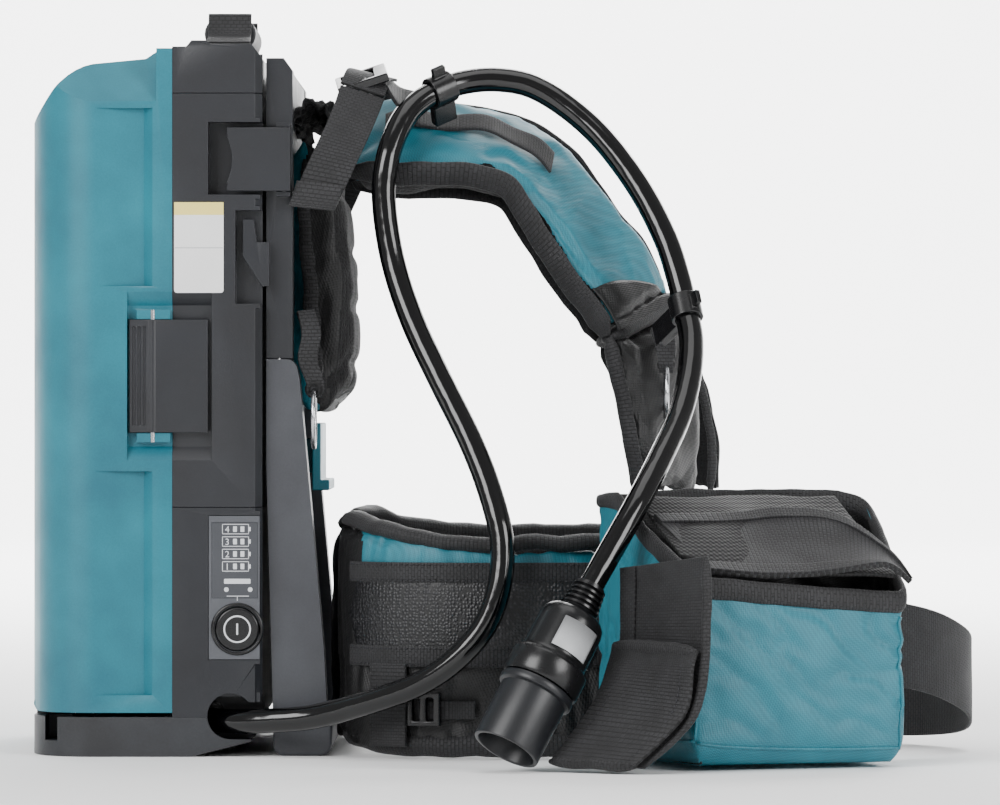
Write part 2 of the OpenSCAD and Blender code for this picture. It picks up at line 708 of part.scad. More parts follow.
// The left strap hangs a little further forward than the right one
module shoulder_tail_left() {
    lean = [0, 4, 9, 14, 17, 18];
    color(cloth) mirror([0, 1, 0]) shoulder(
        [for (i = [0:5]) tail_neck[i] + [lean[i], 0, 0]],
        [for (i = [0:5]) tail_arm[i] + [lean[i], 0, 0]], shoulder_t * 0.6);
}
module lifter_straps() {
    color(cloth) both() {
        ribbon(smooth([[120, -124, 374], [113, -134, 356], [104, -frame_y - 2, 336],
                       [92, -frame_y - 6, 310]], 3),
               smooth([[95, -124, 382], [89, -134, 364], [79, -frame_y - 3, 342],
                       [66, -frame_y - 6, 313]], 3), web_t);
        ribbon(smooth([[120, -94, 389], [128, -92, 381], [137, -88, 367]], 2),
               smooth([[120, -119, 383], [128, -117, 369], [138, -113, 352]], 2), web_t);
    }
}
module ladder_locks() {
    color("#222326") both() translate([107, -108, 386]) rotate([14, -18, 0]) difference() {
        box([-15, -16, -2.5], [15, 16, 2.5]);
        for (x = [-9, 5]) box([x - 2.5, -13, -4], [x + 2.5, 13, 4]);
    }
}
// Fabric loops that the split rings hang in
rear_ring = [80, -132, 192];
front_ring = [281, -121, 206];
module ring_loop(c) {
    translate(c + [0, 0, ring_r]) difference() {
        box([-3.4, -4, -3.4], [3.4, 4, 9]);
        rotate([90, 0, 0]) translate([0, 0, -10]) cylinder(r = ring_wire + 0.9, h = 20);
    }
}
module ring_loops() {
    color(cloth) {
        ring_loop(rear_ring);
        translate(rear_ring) box([-3.4, 4, ring_r + 5.5], [3.4, -pad_y - rear_ring[1], ring_r + 8.5]);
        ring_loop(front_ring);
        translate(front_ring) box([-3.4, 4, ring_r + 5], [3.4, 33, ring_r + 9]);
    }
}
module split_ring(c) {
    color(steel) translate(c) rotate([0, 90, 0]) rotate_extrude($fn = 64)
        translate([ring_r, 0]) circle(r = ring_wire, $fn = 16);
}
module split_ring_rear() {
    split_ring(rear_ring);
}
module split_ring_front() {
    split_ring(front_ring);
}

// Plan line of the right hip belt with its lower and upper edge heights
belt_line = [[98, -112, 8, 134], [109, -140, 4, 133], [128, -162, 1, 128], [160, -174, 1, 119],
    [200, -176, 1, 116], [240, -170, 1, 117], [275, -155, 1, 117], [305, -130, 3, 112]];
band_z0 = 52;
band_z1 = 111;
function band_line(p, z0, z1) = [for (i = [1:len(p) - 1]) [p[i][0], p[i][1], z0, z1]];
module belt_side() {
    band(smooth(belt_line, 3), -belt_t / 2, belt_t / 2);
}
module belt_pad_right() {
    color(cloth) belt_side();
}
module belt_pad_left() {
    color(cloth) mirror([0, 1, 0]) belt_side();
}
module belt_bands() {
    out = belt_t / 2 + fit / 3;
    color("#333438") both() {
        band(band_line(smooth(belt_line, 3), band_z0, band_z1), out, out + 3);
    }
}
module lumbar_pad() {
    color(cloth) box([92.5, -104, 6], [107, 104, 134]);
}
module belt_adjuster() {
    color("#1f2022") translate([143.5, -182, 28.5]) rotate([0, 0, -16]) difference() {
        box([-9.5, -2.5, -9.5], [9.5, 2.5, 9.5]);
        for (x = [-4.5, 3.5]) box([x - 2, -5, -6.5], [x + 2, 5, 6.5]);
    }
}
front_line = [[311, -124, 40, 88], [350, -138, 42, 90], [392, -150, 42, 90], [428, -138, 36, 84],
    [452, -104, 24, 72], [457, -62, 12, 60], [440, -18, 6, 54], [404, 22, 5, 53],
    [356, 66, 12, 60], [322, 108, 24, 72], [311, 124, 40, 88]];
module front_webbing() {
    color(cloth) band(smooth(front_line, 3), -web_t / 2, web_t / 2);
}
module belt_buckle() {
    color("#1f2022") translate([381, 43, 8]) rotate([0, 0, -42]) {
        box([-26, -6, -2], [-fit, -1.5, 50]);
        box([fit, -6, 2], [24, -1.5, 46]);
        box([-10, -5, 12], [10, -2, 36]);
    }
}

// ---- Pouch ---------------------------------------------------------------------------

pouch_plan = [[236, -190], [290, -312], [412, -264], [396, -176], [312, -149]];
pouch_z0 = 1;
pouch_z1 = 151;
pouch_front_h = 100;
pouch_wall = 3;
module above_pouch(gap) {
    translate([290, -312, pouch_front_h + gap]) rotate([0, 0, 21.5]) rotate([27, 0, 0])
        translate([-150, -60, 0]) cube([400, 300, 120]);
}
module pouch() {
    color(teal) difference() {
        upright(pouch_plan, pouch_z0, pouch_z1);
        upright(inset(pouch_plan, pouch_wall), pouch_z0 + pouch_wall, pouch_z1 + 1);
        above_pouch(0);
    }
}
module pouch_flap() {
    color(cloth) intersection() {
        upright(pouch_plan, pouch_z0, pouch_z1 + 3);
        difference() {
            above_pouch(fit);
            above_pouch(fit + 3);
            translate([298, -298, 0]) cylinder(r = 22, h = 200);
        }
    }
}
module pouch_strap() {
    color(cloth) ribbon(
        smooth([[298, -330, 118], [298, -330, 95], [297, -330, 62], [290, -332, 30], [264, -334, 3]], 3),
        smooth([[254, -264, 110], [254, -264, 90], [253, -267, 64], [243, -284, 40], [221, -306, 5]], 3), 3);
}

// ---- Cord and plug -------------------------------------------------------------------

// Route of the cord: out of the gland, forwards along the belt, up over the right
// shoulder through both clips and down to the plug
cord_route = [[20, -110, 20], [21, -122, 20], [28, -137, 20], [41, -149, 20], [58, -157, 21],
    [78, -164, 23], [98, -174, 28], [120, -188, 35], [142, -199, 44], [162, -206, 58],
    [178, -208, 77], [186, -207, 100], [187, -203, 124], [180, -195, 152], [169, -185, 180],
    [152, -172, 214], [136, -159, 248], [125, -149, 282], [120, -144, 316], [122, -142, 339],
    [129, -133, 359], [138, -124, 371], [152, -115, 380], [168, -109, 385], [186, -107, 386],
    [205, -109, 382], [226, -114, 369], [246, -121, 350], [266, -131, 322], [280, -141, 294],
    [287, -148, 272], [291, -156, 254], [294, -168, 236], [292, -186, 214], [286, -206, 193],
    [277, -228, 174], [267, -248, 155], [257, -261, 137]];
clip_up = [152, -115, 380];
clip_up_dir = [30, 15, 14];
clip_low = [291, -156, 254];
clip_low_dir = [7, -20, -36];
plug_mouth = [189, -313, 12.5];
plug_dir = [0.442, 0.342, 0.828];
relief_z0 = sleeve_l + 49;
relief_l = 18;
cord_end = plug_mouth + plug_dir / norm(plug_dir) * (relief_z0 + relief_l);
module cord() {
    path = smooth(concat(cord_route, [cord_end]), 2);
    color("#161618") loft(tube_rings(path, cord_d / 2, 12));
}
// Plug parts are drawn upright, from the open mouth at Z = 0 to the cord end
module in_plug() {
    d = plug_dir / norm(plug_dir);
    translate(plug_mouth) rotate([0, acos(d[2]), atan2(d[1], d[0])]) children();
}
module plug_sleeve() {
    color("#3a3c41") in_plug() difference() {
        union() {
            cylinder(r = sleeve_r, h = sleeve_l);
            translate([0, 0, sleeve_l - 4]) cylinder(r = sleeve_r + 2.5, h = 5);
        }
        translate([0, 0, -1]) cylinder(r = sleeve_r - 2.6, h = sleeve_l - 7);
    }
}
module plug_body() {
    z0 = sleeve_l + 1;
    color("#2b2c30") in_plug() difference() {
        rotate_extrude() polygon([[0, z0], [sleeve_r + 1, z0], [sleeve_r + 3, z0 + 2],
            [sleeve_r + 3, z0 + 14], [sleeve_r + 1, z0 + 16], [sleeve_r, z0 + 18],
            [sleeve_r - 1, relief_z0 - 4], [sleeve_r - 4, relief_z0], [11, relief_z0],
            [8.5, relief_z0 + relief_l], [0, relief_z0 + relief_l]]);
        box([sleeve_r - 4, -6, z0 + 24], [sleeve_r + 5, 6, z0 + 38]);
    }
}
module plug_button() {
    z0 = sleeve_l + 25;
    color("#1d1d1f") in_plug() box([sleeve_r - 1.6, -6 + fit, z0 + fit], [sleeve_r + 2, 6 - fit, z0 + 13 - fit]);
}
module plug_contacts() {
    contact_l = 14;
    color("#c8a24a") in_plug() for (y = [-7, 7])
        translate([0, y, sleeve_l - 8 - contact_l]) cylinder(r = 2.5, h = contact_l);
}
// A clip round the cord at c: d is the cord's direction, and the stem points along stem
clip_l = 14;
module cord_clip(c, d, stem, stem_l) {
    z = d / norm(d);
    x = cross(stem, z) / norm(cross(stem, z));
    y = cross(z, x);
    multmatrix([[x[0], y[0], z[0], c[0]], [x[1], y[1], z[1], c[1]], [x[2], y[2], z[2], c[2]]])
        difference() {
            union() {
                translate([0, 0, -clip_l / 2]) cylinder(r = cord_d / 2 + 2.2, h = clip_l);
                box([-3, cord_d / 2, -clip_l / 2], [3, cord_d / 2 + stem_l, clip_l / 2]);
                box([-1.5, -cord_d / 2 - 8, -4], [1.5, -cord_d / 2 - 1, 4]);
            }
            translate([0, 0, -clip_l]) cylinder(r = cord_d / 2, h = 2 * clip_l);
        }
}
module cord_clips() {
    color("#222326") {
        cord_clip(clip_up, clip_up_dir, [0, 0.5, -0.86], 14);
        cord_clip(clip_low, clip_low_dir, [-0.5, 0.86, 0], 24);
    }
}

housing_top();
housing_middle();
housing_bottom();
base_tray();
cover_seal();
hinge_pins();
chassis();
terminal_blocks();
controller_board();
control_panel();
indicator_lens();
power_button();
cable_gland();
chassis_screws();
handle_strap();
handle_grip();
cover();
latch_pins();
latch_right();
latch_left();
battery_1();
battery_2();
battery_3();
battery_4();
battery_button_1();
battery_button_2();
battery_button_3();
battery_button_4();
frame_upper();
frame_lower();
frame_foot();
yoke_plate();
release_lever_right();
release_lever_left();
back_pad();
shoulder_pad_right();
shoulder_pad_left();
shoulder_tail_right();
shoulder_tail_left();
lifter_straps();
ladder_locks();
ring_loops();
split_ring_rear();
split_ring_front();
cord_clips();
lumbar_pad();
belt_pad_right();
belt_pad_left();
belt_bands();
belt_adjuster();
front_webbing();
belt_buckle();
pouch();
pouch_flap();
pouch_strap();
cord();
plug_body();
plug_sleeve();
plug_contacts();
plug_button();
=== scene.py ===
"""Looks of a backpack battery power supply: shells, harness, hip belt with pouch, cord and plug.

Lengths in the lists below are millimetres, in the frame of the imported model: +X from the
cover to the wearer, +Y to the wearer's left, +Z up, origin under the middle of the base.
"""

import json
import math

import bmesh
import bpy
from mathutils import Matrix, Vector, noise
from mathutils.bvhtree import BVHTree

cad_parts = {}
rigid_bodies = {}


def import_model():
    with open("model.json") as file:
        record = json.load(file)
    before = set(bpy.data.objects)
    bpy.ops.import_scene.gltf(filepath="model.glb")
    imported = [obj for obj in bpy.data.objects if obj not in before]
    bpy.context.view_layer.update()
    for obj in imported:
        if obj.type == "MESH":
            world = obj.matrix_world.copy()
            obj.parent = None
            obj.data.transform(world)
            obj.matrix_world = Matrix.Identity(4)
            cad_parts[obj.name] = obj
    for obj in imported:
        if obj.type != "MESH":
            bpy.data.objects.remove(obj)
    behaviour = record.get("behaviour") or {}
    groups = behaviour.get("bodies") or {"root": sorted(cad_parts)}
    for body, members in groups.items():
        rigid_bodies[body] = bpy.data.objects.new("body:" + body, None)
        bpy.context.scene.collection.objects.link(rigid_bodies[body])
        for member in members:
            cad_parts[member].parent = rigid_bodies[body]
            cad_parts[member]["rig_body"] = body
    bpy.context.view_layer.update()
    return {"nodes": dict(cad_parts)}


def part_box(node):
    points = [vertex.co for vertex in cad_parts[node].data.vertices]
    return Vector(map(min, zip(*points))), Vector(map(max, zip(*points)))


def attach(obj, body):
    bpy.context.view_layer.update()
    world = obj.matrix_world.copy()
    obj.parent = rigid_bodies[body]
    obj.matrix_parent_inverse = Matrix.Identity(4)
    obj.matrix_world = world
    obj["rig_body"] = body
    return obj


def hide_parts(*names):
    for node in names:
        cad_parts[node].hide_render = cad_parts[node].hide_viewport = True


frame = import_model()
CAD = frame["nodes"]
MM = 0.001
SCENE = bpy.context.scene


# ---- Camera -----------------------------------------------------------------------------

def make_camera():
    """A long lens four metres off the pack's right side, level with its middle."""
    data = bpy.data.cameras.new("camera")
    data.sensor_width = 36
    data.lens = 244.4
    data.clip_end = 60
    camera = bpy.data.objects.new("camera", data)
    camera.location = (0.186, -4.0, 0.201)
    camera.rotation_euler = (math.pi / 2, 0, 0)
    SCENE.collection.objects.link(camera)
    SCENE.camera = camera


make_camera()


# ---- Shapes -----------------------------------------------------------------------------

def mm(x, y, z):
    """A point given in millimetres, in metres."""
    return Vector((x, y, z)) * MM


def smooth(points, steps):
    """Points of a smooth curve through the given ones, in metres."""
    p = [Vector(q) * MM for q in points]
    line = []
    for i in range(len(p) - 1):
        a, b, c, d = p[max(i - 1, 0)], p[i], p[i + 1], p[min(i + 2, len(p) - 1)]
        for j in range(steps):
            t = j / steps
            line.append((2 * b + (c - a) * t + (2 * a - 5 * b + 4 * c - d) * t * t
                         + (3 * b - a - 3 * c + d) * t ** 3) / 2)
    return line + [p[-1]]


def length_of(line):
    """Length along a line of points."""
    return sum((b - a).length for a, b in zip(line, line[1:]))


def direction(line, i):
    """Which way a line of points runs at its point i."""
    return (line[min(i + 1, len(line) - 1)] - line[max(i - 1, 0)]).normalized()


def flip_y(points):
    """The same points on the pack's other side."""
    return [[p[0], -p[1], *p[2:]] for p in points]


def add_piece(name, mesh, material, body="pack", slot=None, replaces=()):
    """Makes an object of a finished mesh, and fastens it to its body."""
    piece = bpy.data.objects.new(name, mesh)
    SCENE.collection.objects.link(piece)
    for one in material if isinstance(material, (list, tuple)) else [material]:
        mesh.materials.append(one)
    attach(piece, body)
    if replaces:
        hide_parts(*replaces)
    return piece


def mesh_from(bm, name, shade_smooth=True):
    """Turns a bmesh into a mesh, and frees it."""
    for face in bm.faces:
        face.smooth = shade_smooth
    mesh = bpy.data.meshes.new(name)
    bm.to_mesh(mesh)
    bm.free()
    return mesh


def sheet_mesh(name, across, along, place, size, closed=False):
    """A grid whose point (u, v) stands at place(u, v). Its UV map is in metres."""
    bm = bmesh.new()
    uv = bm.loops.layers.uv.new("UVMap")
    bmesh.ops.create_grid(bm, x_segments=across, y_segments=along, size=0.5, calc_uvs=True)
    for face in bm.faces:
        for loop in face.loops:
            loop[uv].uv = ((loop.vert.co.x + 0.5) * size[0], (loop.vert.co.y + 0.5) * size[1])
    for vert in bm.verts:
        vert.co = place(vert.co.x + 0.5, vert.co.y + 0.5)
    if closed:
        bmesh.ops.remove_doubles(bm, verts=bm.verts, dist=1e-6)
        rim = [e for e in bm.edges if e.is_boundary]
        bmesh.ops.holes_fill(bm, edges=rim, sides=0)
        bmesh.ops.recalc_face_normals(bm, faces=bm.faces)
    return mesh_from(bm, name)


def thicken(piece, thickness, offset=-1.0, bevel=0.0):
    """Gives a sheet its thickness, and softens its cut edges by bevel, both in metres."""
    solid = piece.modifiers.new("thickness", "SOLIDIFY")
    solid.thickness = thickness
    solid.offset = offset
    if bevel:
        edge = piece.modifiers.new("edge", "BEVEL")
        edge.width = bevel
        edge.segments = 2
        edge.limit_method = "ANGLE"
        edge.angle_limit = math.radians(50)
    return piece


def strap(name, left, right, thickness, material, body="pack", slot="webbing", steps=5,
          across=6, wave=0.3, replaces=()):
    """A flat strap between two edge lines. Its face looks along width x travel."""
    a, b = smooth(left, steps), smooth(right, steps)
    last = len(a) - 1
    width = sum((q - p).length for p, q in zip(a, b)) / len(a)

    def place(u, v):
        i = round(v * last)
        p = a[i].lerp(b[i], u)
        face = (b[i] - a[i]).cross(direction(a, i)).normalized()
        return p + face * noise.noise(p * 45) * wave * MM

    mesh = sheet_mesh(name, across, last, place, (width, length_of(a)))
    piece = add_piece(name, mesh, material, body, slot, replaces)
    return thicken(piece, thickness * MM, 0.0, 0.35 * MM)


def roll(name, line, up, out, r_up, r_out, material, body="pack", slot="webbing", pucker=0.5,
         replaces=()):
    """Binding tape folded round an edge: an oval swept along a line of points in metres.
    up and out are the oval's directions at each point."""
    last = len(line) - 1
    around = 14

    def place(u, v):
        i = round(v * last)
        a = 2 * math.pi * u
        fold = 1 + pucker * 0.35 * noise.noise(line[i] * 160) * math.sin(a) ** 2
        drift = pucker * MM * noise.noise(line[i] * 70 + Vector((3, 0, 0)))
        fade = min(1.0, 6 * v + 0.4, 6 * (1 - v) + 0.4)
        return (line[i] + up[i] * (math.sin(a) * r_up * MM * fade + drift)
                + out[i] * math.cos(a) * r_out * MM * fold * fade)

    mesh = sheet_mesh(name, around, last, place, ((r_up + r_out) * 3 * MM, length_of(line)), True)
    return add_piece(name, mesh, material, body, slot, replaces)


def tube(name, line, radius, material, body="pack", slot=None, sides=12):
    """A round rod along a line of points in metres."""
    last = len(line) - 1
    frames, side = [], direction(line, 0).orthogonal().normalized()
    for i in range(len(line)):
        ahead = direction(line, i)
        side = (side - ahead * side.dot(ahead)).normalized()
        frames.append((side, ahead.cross(side)))

    def place(u, v):
        i = round(v * last)
        a = 2 * math.pi * u
        return line[i] + (frames[i][0] * math.cos(a) + frames[i][1] * math.sin(a)) * radius * MM

    mesh = sheet_mesh(name, sides, last, place, (6 * radius * MM, length_of(line)), True)
    return add_piece(name, mesh, material, body, slot)


def tree_of(piece):
    """Search tree of a finished mesh, for laying other pieces on it."""
    mesh = piece.data
    return BVHTree.FromPolygons([v.co for v in mesh.vertices], [p.vertices for p in mesh.polygons])


def laid_on(tree, point, face, lift):
    """The point, moved along face onto the outside of a piece, and lifted off it."""
    hit = tree.ray_cast(point + face * 60 * MM, -face, 0.12)[0]
    return (hit if hit else point) + face * lift * MM


def clean_copy(node):
    """A merged copy of a CAD node's triangles, with its flat faces whole again."""
    bm = bmesh.new()
    bm.from_mesh(CAD[node].data)
    bmesh.ops.remove_doubles(bm, verts=bm.verts, dist=2e-6)
    bmesh.ops.dissolve_limit(bm, angle_limit=math.radians(0.6), verts=bm.verts, edges=bm.edges)
    return bm


def moulded_part(name, node, material, bevel, segments=3, slot=None, sharp=28):
    """A CAD node's shape with its edges rounded as a mould rounds them."""
    bm = clean_copy(node)
    if node not in ("housing_middle", "chassis"):   # their outlines bevel cleanly whole
        bmesh.ops.connect_verts_concave(bm, faces=bm.faces)
    for edge in bm.edges:
        edge.smooth = edge.calc_face_angle(0) < math.radians(sharp + 6)
    mesh = mesh_from(bm, name)
    piece = add_piece(name, mesh, material, CAD[node]["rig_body"], slot, [node])
    edge = piece.modifiers.new("rounded edges", "BEVEL")
    edge.width = bevel * MM
    edge.segments = segments
    edge.limit_method = "ANGLE"
    edge.angle_limit = math.radians(sharp)
    edge.use_clamp_overlap = True
    edge.harden_normals = True
    edge.miter_outer = "MITER_ARC"
    return piece


def stitches(name, lines, material, body="pack", pitch=4.2, long=2.8, thick=0.55, lift=0.2):
    """Rows of thread: short lozenges along lines of (point, normal) pairs in metres."""
    bm = bmesh.new()
    for line in lines:
        total, nxt = 0.0, pitch / 2 * MM
        for (p, n), (q, _) in zip(line, line[1:]):
            step = (q - p).length
            while total + step > nxt and step > 0:
                at = p.lerp(q, (nxt - total) / step) + n * lift * MM
                ahead = (q - p).normalized()
                side = n.cross(ahead).normalized()
                made = bmesh.ops.create_cube(bm, size=1.0)["verts"]
                for vert in made:
                    x, y, z = vert.co
                    taper = 0.55 if z > 0 else 1
                    vert.co = (at + ahead * x * long * taper * MM + side * y * thick * MM
                               + n * z * thick * MM)
                nxt += pitch * MM
            total += step
    return add_piece(name, mesh_from(bm, name), material, body)


# ---- Materials --------------------------------------------------------------------------

def linear(code):
    """An sRGB hex colour as linear RGBA."""
    parts = [int(code[i:i + 2], 16) / 255 for i in (1, 3, 5)]
    return [c / 12.92 if c <= 0.04045 else ((c + 0.055) / 1.055) ** 2.4 for c in parts] + [1.0]


def add(mat, kind, values=None, links=None, **settings):
    """Adds a node: settings are its properties, values its sockets, links their sources."""
    made = mat.node_tree.nodes.new("ShaderNode" + kind)
    for key, value in settings.items():
        setattr(made, key, value)
    for key, value in (values or {}).items():
        made.inputs[key].default_value = value
    for key, source in (links or {}).items():
        mat.node_tree.links.new(source, made.inputs[key])
    return made


def surface(name, roughness, **sockets):
    """A material with its shader, whose fixed values are set on the shader's own sockets."""
    mat = bpy.data.materials.new(name)
    mat.use_nodes = True
    shader = mat.node_tree.nodes["Principled BSDF"]
    shader.inputs["Roughness"].default_value = roughness
    for key, value in sockets.items():
        shader.inputs[key.replace("_", " ")].default_value = value
    return mat, shader


def two_tone(mat, shader, low, high, mask):
    """Base colour that runs from one hex colour to another over a mask from 0 to 1."""
    mixed = add(mat, "Mix", {6: linear(low), 7: linear(high)}, {0: mask}, data_type="RGBA")
    mat.node_tree.links.new(mixed.outputs[2], shader.inputs["Base Color"])


def bump(mat, shader, height, depth_mm):
    """Relief of the given depth from a height between 0 and 1."""
    made = add(mat, "Bump", {"Strength": 1.0, "Distance": depth_mm * MM}, {"Height": height})
    mat.node_tree.links.new(made.outputs["Normal"], shader.inputs["Normal"])


def textured_plastic(name, low, high, roughness, grain=0.9, depth=0.05):
    """Moulded ABS or nylon from a spark-eroded mould: matt, with an even fine grain. The grain
    is 0.3 mm on the real one, and is drawn near 1 mm so that it shows. Handling leaves
    cloudy patches that shine a little more."""
    mat, shader = surface(name, roughness, IOR=1.5)
    at = add(mat, "TexCoord").outputs["Object"]
    grit = add(mat, "TexNoise", {"Scale": 1 / (grain * MM), "Detail": 2.0}, {"Vector": at})
    cloud = add(mat, "TexNoise", {"Scale": 14.0, "Detail": 3.0, "Roughness": 0.6}, {"Vector": at})
    both = add(mat, "Math", {1: 0.22}, {0: grit.outputs["Fac"]}, operation="MULTIPLY")
    tone = add(mat, "Math", {}, {0: cloud.outputs["Fac"], 1: both.outputs[0]}, operation="ADD")
    mask = add(mat, "MapRange", {1: 0.42, 2: 0.82}, {0: tone.outputs[0]}).outputs[0]
    two_tone(mat, shader, low, high, mask)
    wear = add(mat, "MapRange", {1: 0.35, 2: 0.7, 3: roughness + 0.05, 4: roughness - 0.06},
               {0: cloud.outputs["Fac"]})
    mat.node_tree.links.new(wear.outputs[0], shader.inputs["Roughness"])
    bump(mat, shader, grit.outputs["Fac"], depth)
    return mat


def weave(mat, at, pitch, turn):
    """Height of a plain weave on any face: crossed ridges of the given pitch in millimetres."""
    spread = 2 * math.pi / (pitch * MM)
    turned = add(mat, "Mapping", {"Rotation": turn, "Scale": (spread,) * 3}, {"Vector": at})
    split = add(mat, "SeparateXYZ", {}, {0: turned.outputs[0]})
    waves = [add(mat, "Math", {}, {0: split.outputs[i]}, operation="SINE").outputs[0] for i in range(3)]
    first = add(mat, "Math", {}, {0: waves[0], 1: waves[1]}, operation="ADD").outputs[0]
    return add(mat, "Math", {}, {0: first, 1: waves[2]}, operation="ADD").outputs[0]


def cloth_finish(name, low, high, pitch, depth, roughness, sheen, turn=(0.3, 0.2, 0.78)):
    """Woven polyester or nylon: crossed threads with painted shade between them, and soft creases with
    painted shade in their hollows.
    """
    mat, shader = surface(name, roughness, Sheen_Weight=sheen, Sheen_Roughness=0.4)
    at = add(mat, "TexCoord").outputs["Object"]
    ribs = weave(mat, at, pitch, turn)
    crease = add(mat, "TexNoise", {"Scale": 38.0, "Detail": 5.0, "Roughness": 0.6, "Distortion": 0.4},
                 {"Vector": at}).outputs["Fac"]
    # painted shade: the colour darkens between the threads, where the weave's relief is low
    cover = add(mat, "MapRange", {1: -1.6, 2: 1.8, 3: 0.0, 4: 0.6}, {0: ribs}).outputs[0]
    # painted shade: the colour darkens in the hollows of the creases that the bump also draws
    tone = add(mat, "MapRange", {1: 0.3, 2: 0.7, 3: -0.14, 4: 0.3}, {0: crease}).outputs[0]
    two_tone(mat, shader, low, high, add(mat, "Math", {}, {0: cover, 1: tone}, operation="ADD",
                                         use_clamp=True).outputs[0])
    large = add(mat, "Math", {1: 6.0}, {0: crease}, operation="MULTIPLY").outputs[0]
    height = add(mat, "Math", {}, {0: ribs, 1: large}, operation="ADD").outputs[0]
    bump(mat, shader, height, depth)
    return mat


def tape_finish(name, low, high, across, rows, depth):
    """Woven tape on a UV map in metres: offset stitches like small bricks, matt, with a painted
    highlight on each crossing and painted shade in the gaps between them. The real pitch is 0.8 mm, drawn
    coarser so that it shows."""
    mat, shader = surface(name, 0.7, Sheen_Weight=0.05, Sheen_Roughness=0.5)
    at = add(mat, "TexCoord").outputs["UV"]
    brick = add(mat, "TexBrick", {"Color1": (1, 1, 1, 1), "Color2": (0.72, 0.72, 0.72, 1),
                                  "Mortar": (0, 0, 0, 1), "Scale": 1.0, "Mortar Size": rows * 0.2 * MM,
                                  "Mortar Smooth": 0.8, "Brick Width": across * MM,
                                  "Row Height": rows * MM}, {"Vector": at}, offset=0.5)
    place = add(mat, "TexCoord").outputs["Object"]
    worn = add(mat, "TexNoise", {"Scale": 60.0, "Detail": 4.0}, {"Vector": place}).outputs["Fac"]
    # painted highlight on each crossing and painted shade in the gaps, varied by a random worn tone
    painted_glint_and_wear = add(mat, "Math", {}, {0: brick.outputs["Color"], 1: worn}, operation="MULTIPLY").outputs[0]
    two_tone(mat, shader, low, high, add(mat, "MapRange", {1: 0.0, 2: 0.75}, {0: painted_glint_and_wear}).outputs[0])
    bump(mat, shader, brick.outputs["Color"], depth)
    return mat


def cell_finish(name, low, high, cell, depth, roughness, invert):
    """Cells over the surface: rounded pebbles, or the holes of an open mesh, darker where the relief is low
    as painted shade.
    """
    mat, shader = surface(name, roughness)
    at = add(mat, "TexCoord").outputs["Object"]
    cells = add(mat, "TexVoronoi", {"Scale": 1 / (cell * MM), "Randomness": 0.55}, {"Vector": at},
                feature="F1").outputs["Distance"]
    # painted shade: the colour follows the relief, darker between the pebbles and in the holes
    shape = add(mat, "MapRange", {1: 0.15, 2: 0.6, 3: 0.0 if invert else 1.0, 4: 1.0 if invert else 0.0},
                {0: cells}).outputs[0]
    two_tone(mat, shader, low, high, shape)
    bump(mat, shader, shape, depth)
    return mat


def glossy(name, low, high, roughness, coat=0.0, wobble=0.03, metallic=0.0, **sockets):
    """Smooth moulded or drawn surface with a slight waviness that bends its reflections."""
    mat, shader = surface(name, roughness, Metallic=metallic, Coat_Weight=coat, Coat_Roughness=0.08,
                          **sockets)
    at = add(mat, "TexCoord").outputs["Object"]
    swell = add(mat, "TexNoise", {"Scale": 42.0, "Detail": 2.0, "Roughness": 0.5}, {"Vector": at})
    two_tone(mat, shader, low, high, swell.outputs["Fac"])
    bump(mat, shader, swell.outputs["Fac"], wobble)
    return mat


# Teal ABS of the cover and yoke: satin, slightly chalky where the light grazes it
TEAL_ABS = textured_plastic("teal_moulded_abs", "#0f5d6e", "#1b7888", 0.42)
# Charcoal glass-filled nylon of the housing, upper frame, latches and levers
DARK_ABS = textured_plastic("charcoal_moulded_nylon", "#17181c", "#25272c", 0.4)
# Lighter grey nylon of the lower frame and foot
GREY_ABS = textured_plastic("grey_moulded_nylon", "#34353a", "#45474c", 0.45)
# Base tray, the same nylon but scuffed by the ground
BASE_ABS = textured_plastic("scuffed_base_nylon", "#1d1e21", "#303236", 0.5, 1.3, 0.08)
# Black acetal of clips, buckles and the button: smoother, with a crisp shine
BLACK_ACETAL = textured_plastic("black_moulded_acetal", "#070708", "#121214", 0.26, 1.6, 0.02)
# Inner partitions, plain grey ABS
INNER_ABS = textured_plastic("inner_grey_abs", "#26272b", "#323338", 0.5)
# Packs of the batteries and their coloured release buttons
BATTERY_ABS = textured_plastic("battery_black_abs", "#0e0f10", "#19191c", 0.42)
RELEASE_ABS = textured_plastic("release_red_abs", "#8a1f1f", "#a12c2b", 0.4)
# Plug: soft-touch charcoal polymer, a little blue
PLUG_SOFT = textured_plastic("plug_soft_charcoal", "#131417", "#1f2125", 0.36, 0.8, 0.04)
PLUG_DARK = textured_plastic("plug_body_black", "#09090a", "#131416", 0.26, 0.8, 0.03)
# Cord jacket: glossy PVC whose highlights wander along its length
CORD_PVC = glossy("cord_black_pvc", "#010102", "#030304", 0.12, 0.2, 0.9)
# Rubber of the seal and the grip sleeve
RUBBER = textured_plastic("matt_rubber", "#141517", "#222327", 0.55, 1.1, 0.06)
# Bright nickel-plated steel of split rings, pins and screws; brass contacts
STEEL = glossy("nickel_plated_steel", "#b9bbbf", "#d6d7da", 0.22, 0.0, 0.02, 1.0)
BRASS = glossy("brass_contacts", "#b8924a", "#d3ad62", 0.28, 0.0, 0.02, 1.0)
# Circuit board: green solder mask under clear lacquer
BOARD = glossy("green_solder_mask", "#1c5230", "#27693e", 0.35, 0.4, 0.02)
